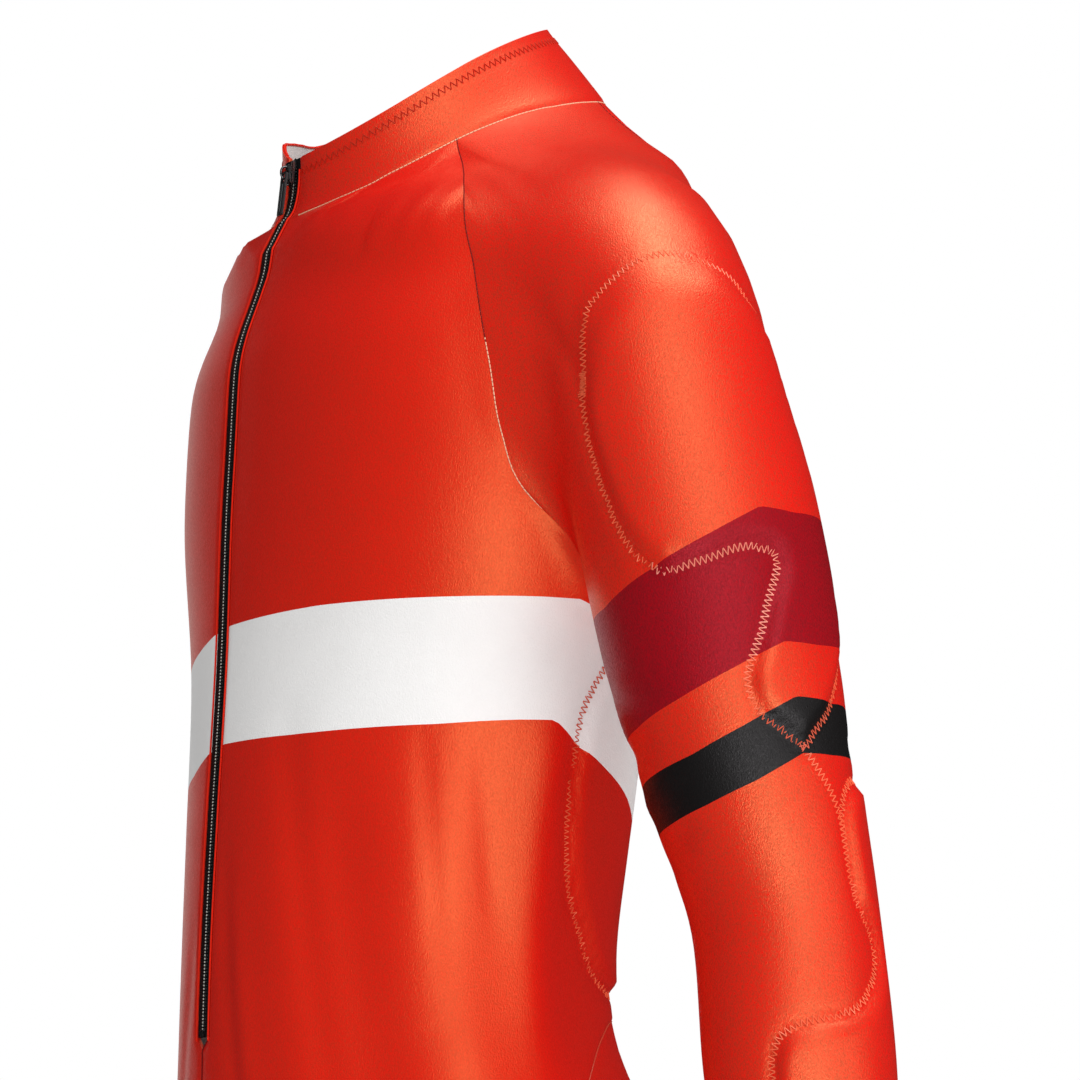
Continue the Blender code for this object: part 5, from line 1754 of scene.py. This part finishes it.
# %% [markdown]
# ## The zip
# The zip runs on the same line as the two front edges, up to the collar's top. Its tapes are
# ribbed black weave, and the coil's loops meet in the middle. Their heads are painted light
# grey as a painted glint, so they show as a row of light dots.

# %% Zip tapes
TAPE_THICK = 0.0010
TAPE_SUNK = 0.0008         # the tape lies this far below the cloth's face
CHAIN_WIDTH = 0.0046
CHAIN_PROUD = 0.0002
STOP_LENGTH = 0.0040
TAPE_COLUMNS = 5

zip_out = unit(outward(near_edge) * [0, 1, 1])
zip_line = near_edge * [0, 1, 1]
foot_up = unit(zip_line[-2] - zip_line[-1])      # the way up the zip from its lower end


def zip_strip(low_x, high_x, top, thick, cut):
    """Outer and inner grids of a strip along the zip."""
    line = zip_line.copy()
    line[-1] += unit(line[-2] - line[-1]) * cut
    across = np.linspace(low_x, high_x, TAPE_COLUMNS)[None, :, None] * np.array([1.0, 0, 0])
    face = line[:, None, :] + across + zip_out[:, None, :] * top
    return face, face - zip_out[:, None, :] * thick


def make_tape_material():
    material, tree, shader = new_material("ribbed_black_tape", Roughness=0.7,
                                          Specular_IOR_Level=0.25)
    shader.inputs["Base Color"].default_value = (0.010, 0.010, 0.011, 1)
    where = add_node(tree, "ShaderNodeTexCoord")
    ribs = add_node(tree, "ShaderNodeTexWave", bands_direction="Z", Scale=330.0)
    tree.links.new(where.outputs["Object"], ribs.inputs["Vector"])
    bump = add_node(tree, "ShaderNodeBump", Strength=0.8, Distance=0.0003)
    tree.links.new(ribs.outputs["Fac"], bump.inputs["Height"])
    tree.links.new(bump.outputs["Normal"], shader.inputs["Normal"])
    return material


tape_weave = make_tape_material()
tape_length = float(np.linalg.norm(np.diff(zip_line, axis=0), axis=1).sum())
inner_x, outer_x = 0.0001, ZIP_OPENING / 2 - SEAM_GAP    # the tapes meet under the coil
for side, sign in (("left", 1), ("right", -1)):
    low_x, high_x = sorted((sign * inner_x, sign * outer_x))
    face, back = zip_strip(low_x, high_x, -TAPE_SUNK, TAPE_THICK, 2 * SEAM_GAP)
    way = np.cross(face[1, 1] - face[1, 0], face[2, 0] - face[1, 0]) @ zip_out[1]
    mesh = wall_mesh(f"zip_tape_{side}_weave", face, back, False, bool(way < 0), {})
    mesh.materials.append(tape_weave)
    mesh.materials.append(tape_weave)
    tape = placed(mesh.name, mesh)
    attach(tape, "suit")
    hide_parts(f"zip_tape_{side}")
print("zip is", round(tape_length, 3), "m long")

# %% Coil
COIL_PITCH = 0.00176
COIL_SINK = 0.0006         # the coil's middle lies this far below the line of the zip
COIL_SIDE = 0.00118        # each row of loops lies this far from the zip's middle
HEAD_RISE = 0.00035        # the heads' middles lie this far above the coil's
coil_black = plain_material("coil_black", (0.012, 0.012, 0.013), 0.30)
# The heads are black nylon like the loops; their light grey is a painted glint.
painted_glint_heads = plain_material("coil_heads_painted_glint", (0.72, 0.69, 0.62), 0.30, level=0.8)


def bead_tree():
    """Rounded beads along a line, stretched along it, across it and upwards."""
    tree, start, end = tree_sockets("coil_beads", {"Pitch": COIL_PITCH, "Along": 0.001,
                                                   "Across": 0.002, "Thick": 0.001})
    place = aligned_points(tree, start)
    ball = tree.nodes.new("GeometryNodeMeshUVSphere")
    ball.inputs["Segments"].default_value = 10
    ball.inputs["Rings"].default_value = 6
    ball.inputs["Radius"].default_value = 0.5
    size = tree.nodes.new("ShaderNodeCombineXYZ")
    for axis, label in (("X", "Along"), ("Y", "Across"), ("Z", "Thick")):
        tree.links.new(start.outputs[label], size.inputs[axis])
    shaped = tree.nodes.new("GeometryNodeTransform")
    tree.links.new(ball.outputs["Mesh"], shaped.inputs["Geometry"])
    tree.links.new(size.outputs[0], shaped.inputs["Scale"])
    tree.links.new(shaped.outputs[0], place.inputs["Instance"])
    finish_tree(tree, start, end, place)
    return tree


beads = bead_tree()
chain_stop = zip_line[-1] + foot_up * (STOP_LENGTH + 3 * SEAM_GAP)
chain_line = np.vstack([zip_line[:-1], chain_stop])
keep = np.r_[True, np.linalg.norm(np.diff(chain_line, axis=0), axis=1) > 1e-5]
chain_line, chain_out = chain_line[keep], zip_out[keep]
sunk = chain_line - chain_out * COIL_SINK
loops = []
for sign, shift in ((1, 0), (-1, 0.5)):
    length = np.linalg.norm(np.diff(sunk, axis=0), axis=1)[0]
    first = sunk[0] + (sunk[1] - sunk[0]) * min(shift * COIL_PITCH / length, 0.9)
    row = np.vstack([first, sunk[1:]]) + np.array([sign * COIL_SIDE, 0, 0])
    loops.append(grow(f"coil_loops_{sign}", beads, row, chain_out, coil_black,
                      Pitch=COIL_PITCH, Along=0.0013, Across=0.0022, Thick=0.0013))
coil = join_parts("coil_loops", loops)
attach(coil, "suit")
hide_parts("zip_chain")
# The heads' beads carry the painted glint.
heads = grow("coil_heads_painted_glint", beads, sunk + chain_out * HEAD_RISE, chain_out, painted_glint_heads,
             Pitch=COIL_PITCH, Along=0.00105, Across=0.00125, Thick=0.0008)
print("coil:", len(coil.data.polygons) + len(heads.data.polygons), "faces")

# %% [markdown]
# ## Slider, stop and pull
# These are small castings in dark metal. The slider stands a little below the collar's top,
# and a bail on it holds the pull, which hangs down and swings up about the bail.

# %% Metal pieces
SLIDER_LENGTH, SLIDER_WIDTH, SLIDER_THICK, SLIDER_TAPER = 0.0130, 0.0092, 0.0026, 0.70
BAIL_WIRE, BAIL_SPAN, BAIL_HEIGHT = 0.0013, 0.0066, 0.0042
PULL_LENGTH, PULL_WIDTH, PULL_THICK = 0.0250, 0.0070, 0.0013
PULL_BAR, PULL_WINDOW, PULL_WINDOW_WIDTH = 0.0013, 0.0052, 0.0030
PULL_LEAN = 6.0            # degrees that the hanging pull stands off the slider
PULL_AXIS = Vector((0.0, -0.09785, -0.01502))

gunmetal = plain_material("gunmetal", (0.16, 0.16, 0.165), 0.26, metallic=1.0)
pull_metal = plain_material("dark_pull", (0.085, 0.087, 0.090), 0.34, metallic=0.8)
rough_collar = collar_grid(rough_seams, 1)
seat_top, seat_low = rough_collar[-1, 0] * [0, 1, 1], rough_collar[-2, 0] * [0, 1, 1]
zip_up = unit(seat_top - seat_low)
slider_tilt = math.atan2(-zip_up[1], zip_up[2])
seat_out = np.array([0.0, -zip_up[2], zip_up[1]])
slider_seat = Vector((seat_top + seat_low) / 2 + seat_out * (CHAIN_PROUD + SEAM_GAP))


def metal_object(name, shape, material, place, body):
    """Finish a bmesh as an object in the shared frame."""
    bmesh.ops.transform(shape, matrix=place, verts=shape.verts)
    bmesh.ops.recalc_face_normals(shape, faces=shape.faces)
    mesh = bpy.data.meshes.new(name)
    shape.to_mesh(mesh)
    shape.free()
    mesh.materials.append(material)
    mesh.shade_smooth()
    mesh.set_sharp_from_angle(angle=math.radians(40))
    made = placed(name, mesh)
    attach(made, body)
    return made


def add_block(shape, size, centre, bevel, taper=1.0, segments=3):
    """A bevelled block, narrower at its low end, added to a bmesh."""
    block = bmesh.new()
    bmesh.ops.create_cube(block, size=1)
    for vertex in block.verts:
        vertex.co.x *= size[0] * (taper if vertex.co.z < 0 else 1)
        vertex.co.y *= size[1]
        vertex.co.z *= size[2]
    bmesh.ops.bevel(block, geom=block.edges[:], offset=bevel, segments=segments, affect="EDGES")
    bmesh.ops.translate(block, vec=centre, verts=block.verts)
    mesh = bpy.data.meshes.new("block")
    block.to_mesh(mesh)
    block.free()
    shape.from_mesh(mesh)
    bpy.data.meshes.remove(mesh)


def add_wire(shape, points, radius, sides=10):
    """A round bar through points in one plane, added to a bmesh."""
    rings = []
    points = [Vector(p) for p in points]
    for i, point in enumerate(points):
        ahead = (points[min(i + 1, len(points) - 1)] - points[max(i - 1, 0)]).normalized()
        across = Vector((1, 0, 0))
        other = ahead.cross(across).normalized()
        turns = np.linspace(0, 2 * math.pi, sides, endpoint=False)
        rings.append([shape.verts.new(point + radius * (math.cos(t) * across
                                                        + math.sin(t) * other))
                      for t in turns])
    for one, two in zip(rings, rings[1:]):
        for k in range(sides):
            shape.faces.new((one[k], one[(k + 1) % sides], two[(k + 1) % sides], two[k]))
    shape.faces.new(rings[0][::-1])
    shape.faces.new(rings[-1])


# %% Slider and stops
seat_place = Matrix.Translation(slider_seat) @ Matrix.Rotation(slider_tilt, 4, "X")
body_shape = bmesh.new()
add_block(body_shape, (SLIDER_WIDTH, SLIDER_THICK, SLIDER_LENGTH), (0, -SLIDER_THICK / 2, 0),
          0.0007, SLIDER_TAPER)
add_block(body_shape, (0.0036, 0.0012, 0.0088), (0, -SLIDER_THICK - 0.0002, 0.0004), 0.0004)
foot, plate = BAIL_SPAN / 2, -SLIDER_THICK
arch = [(foot, -0.001), (foot, 0.5 * BAIL_HEIGHT), (0.72 * foot, 0.86 * BAIL_HEIGHT),
        (0.24 * foot, BAIL_HEIGHT)]
arch += [(-along, height) for along, height in arch[::-1]]
add_wire(body_shape, spline([(0, plate - height, along) for along, height in arch], 4),
         BAIL_WIRE / 2)
slider = metal_object("slider_metal", body_shape, gunmetal, seat_place, "suit")
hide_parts("zip_slider")

stop_place = Matrix.Translation(
    Vector(zip_line[-1] + foot_up * (STOP_LENGTH / 2 + 2 * SEAM_GAP)))
stop_tilt = math.atan2(-foot_up[1], foot_up[2])
stop_shape = bmesh.new()
add_block(stop_shape, (CHAIN_WIDTH, 0.0026, STOP_LENGTH), (0, 0.0003, 0), 0.0006)
stop = metal_object("bottom_stop", stop_shape, gunmetal,
                    stop_place @ Matrix.Rotation(stop_tilt, 4, "X"), "suit")
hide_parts("zip_stop_bottom")

knob_shape = bmesh.new()
for sign in (1, -1):
    add_block(knob_shape, (0.0022, 0.0024, 0.0050), (sign * 0.0013, 0, 0), 0.0009)
knob_place = Matrix.Translation(Vector(zip_line[0] - zip_out[0] * 0.0004)) @ Matrix.Rotation(
    slider_tilt, 4, "X")
metal_object("top_stops", knob_shape, coil_black,
             knob_place @ Matrix.Translation((0, 0, -0.0028)), "suit")

# %% Pull
pull_shape = bmesh.new()
top, low = PULL_BAR / 2, PULL_BAR / 2 - PULL_LENGTH
side_width = (PULL_WIDTH - PULL_WINDOW_WIDTH) / 2
side_x = (PULL_WINDOW_WIDTH + side_width) / 2
window_low = -PULL_WINDOW
for sign in (1, -1):
    add_block(pull_shape, (side_width, PULL_THICK, top - window_low + 0.001),
              (sign * side_x, 0, (top + window_low - 0.001) / 2), 0.0003)
add_block(pull_shape, (PULL_WIDTH, PULL_THICK, PULL_BAR), (0, 0, 0), 0.0003)
add_block(pull_shape, (PULL_WIDTH, PULL_THICK, window_low - low), (0, 0, (window_low + low) / 2),
          0.0004, 0.94)
ridge_y = -PULL_THICK / 2 + 0.0002
ridge = [(0, ridge_y, window_low - 0.0015), (0, ridge_y, low + 0.002)]
add_wire(pull_shape, ridge, 0.0009)
pull_place = Matrix.Translation(PULL_AXIS) @ Matrix.Rotation(
    slider_tilt - math.radians(PULL_LEAN), 4, "X")
pull = metal_object("pull_tab", pull_shape, pull_metal, pull_place, "pull")
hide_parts("zip_pull")
print("slider, stops and pull are on the zip")
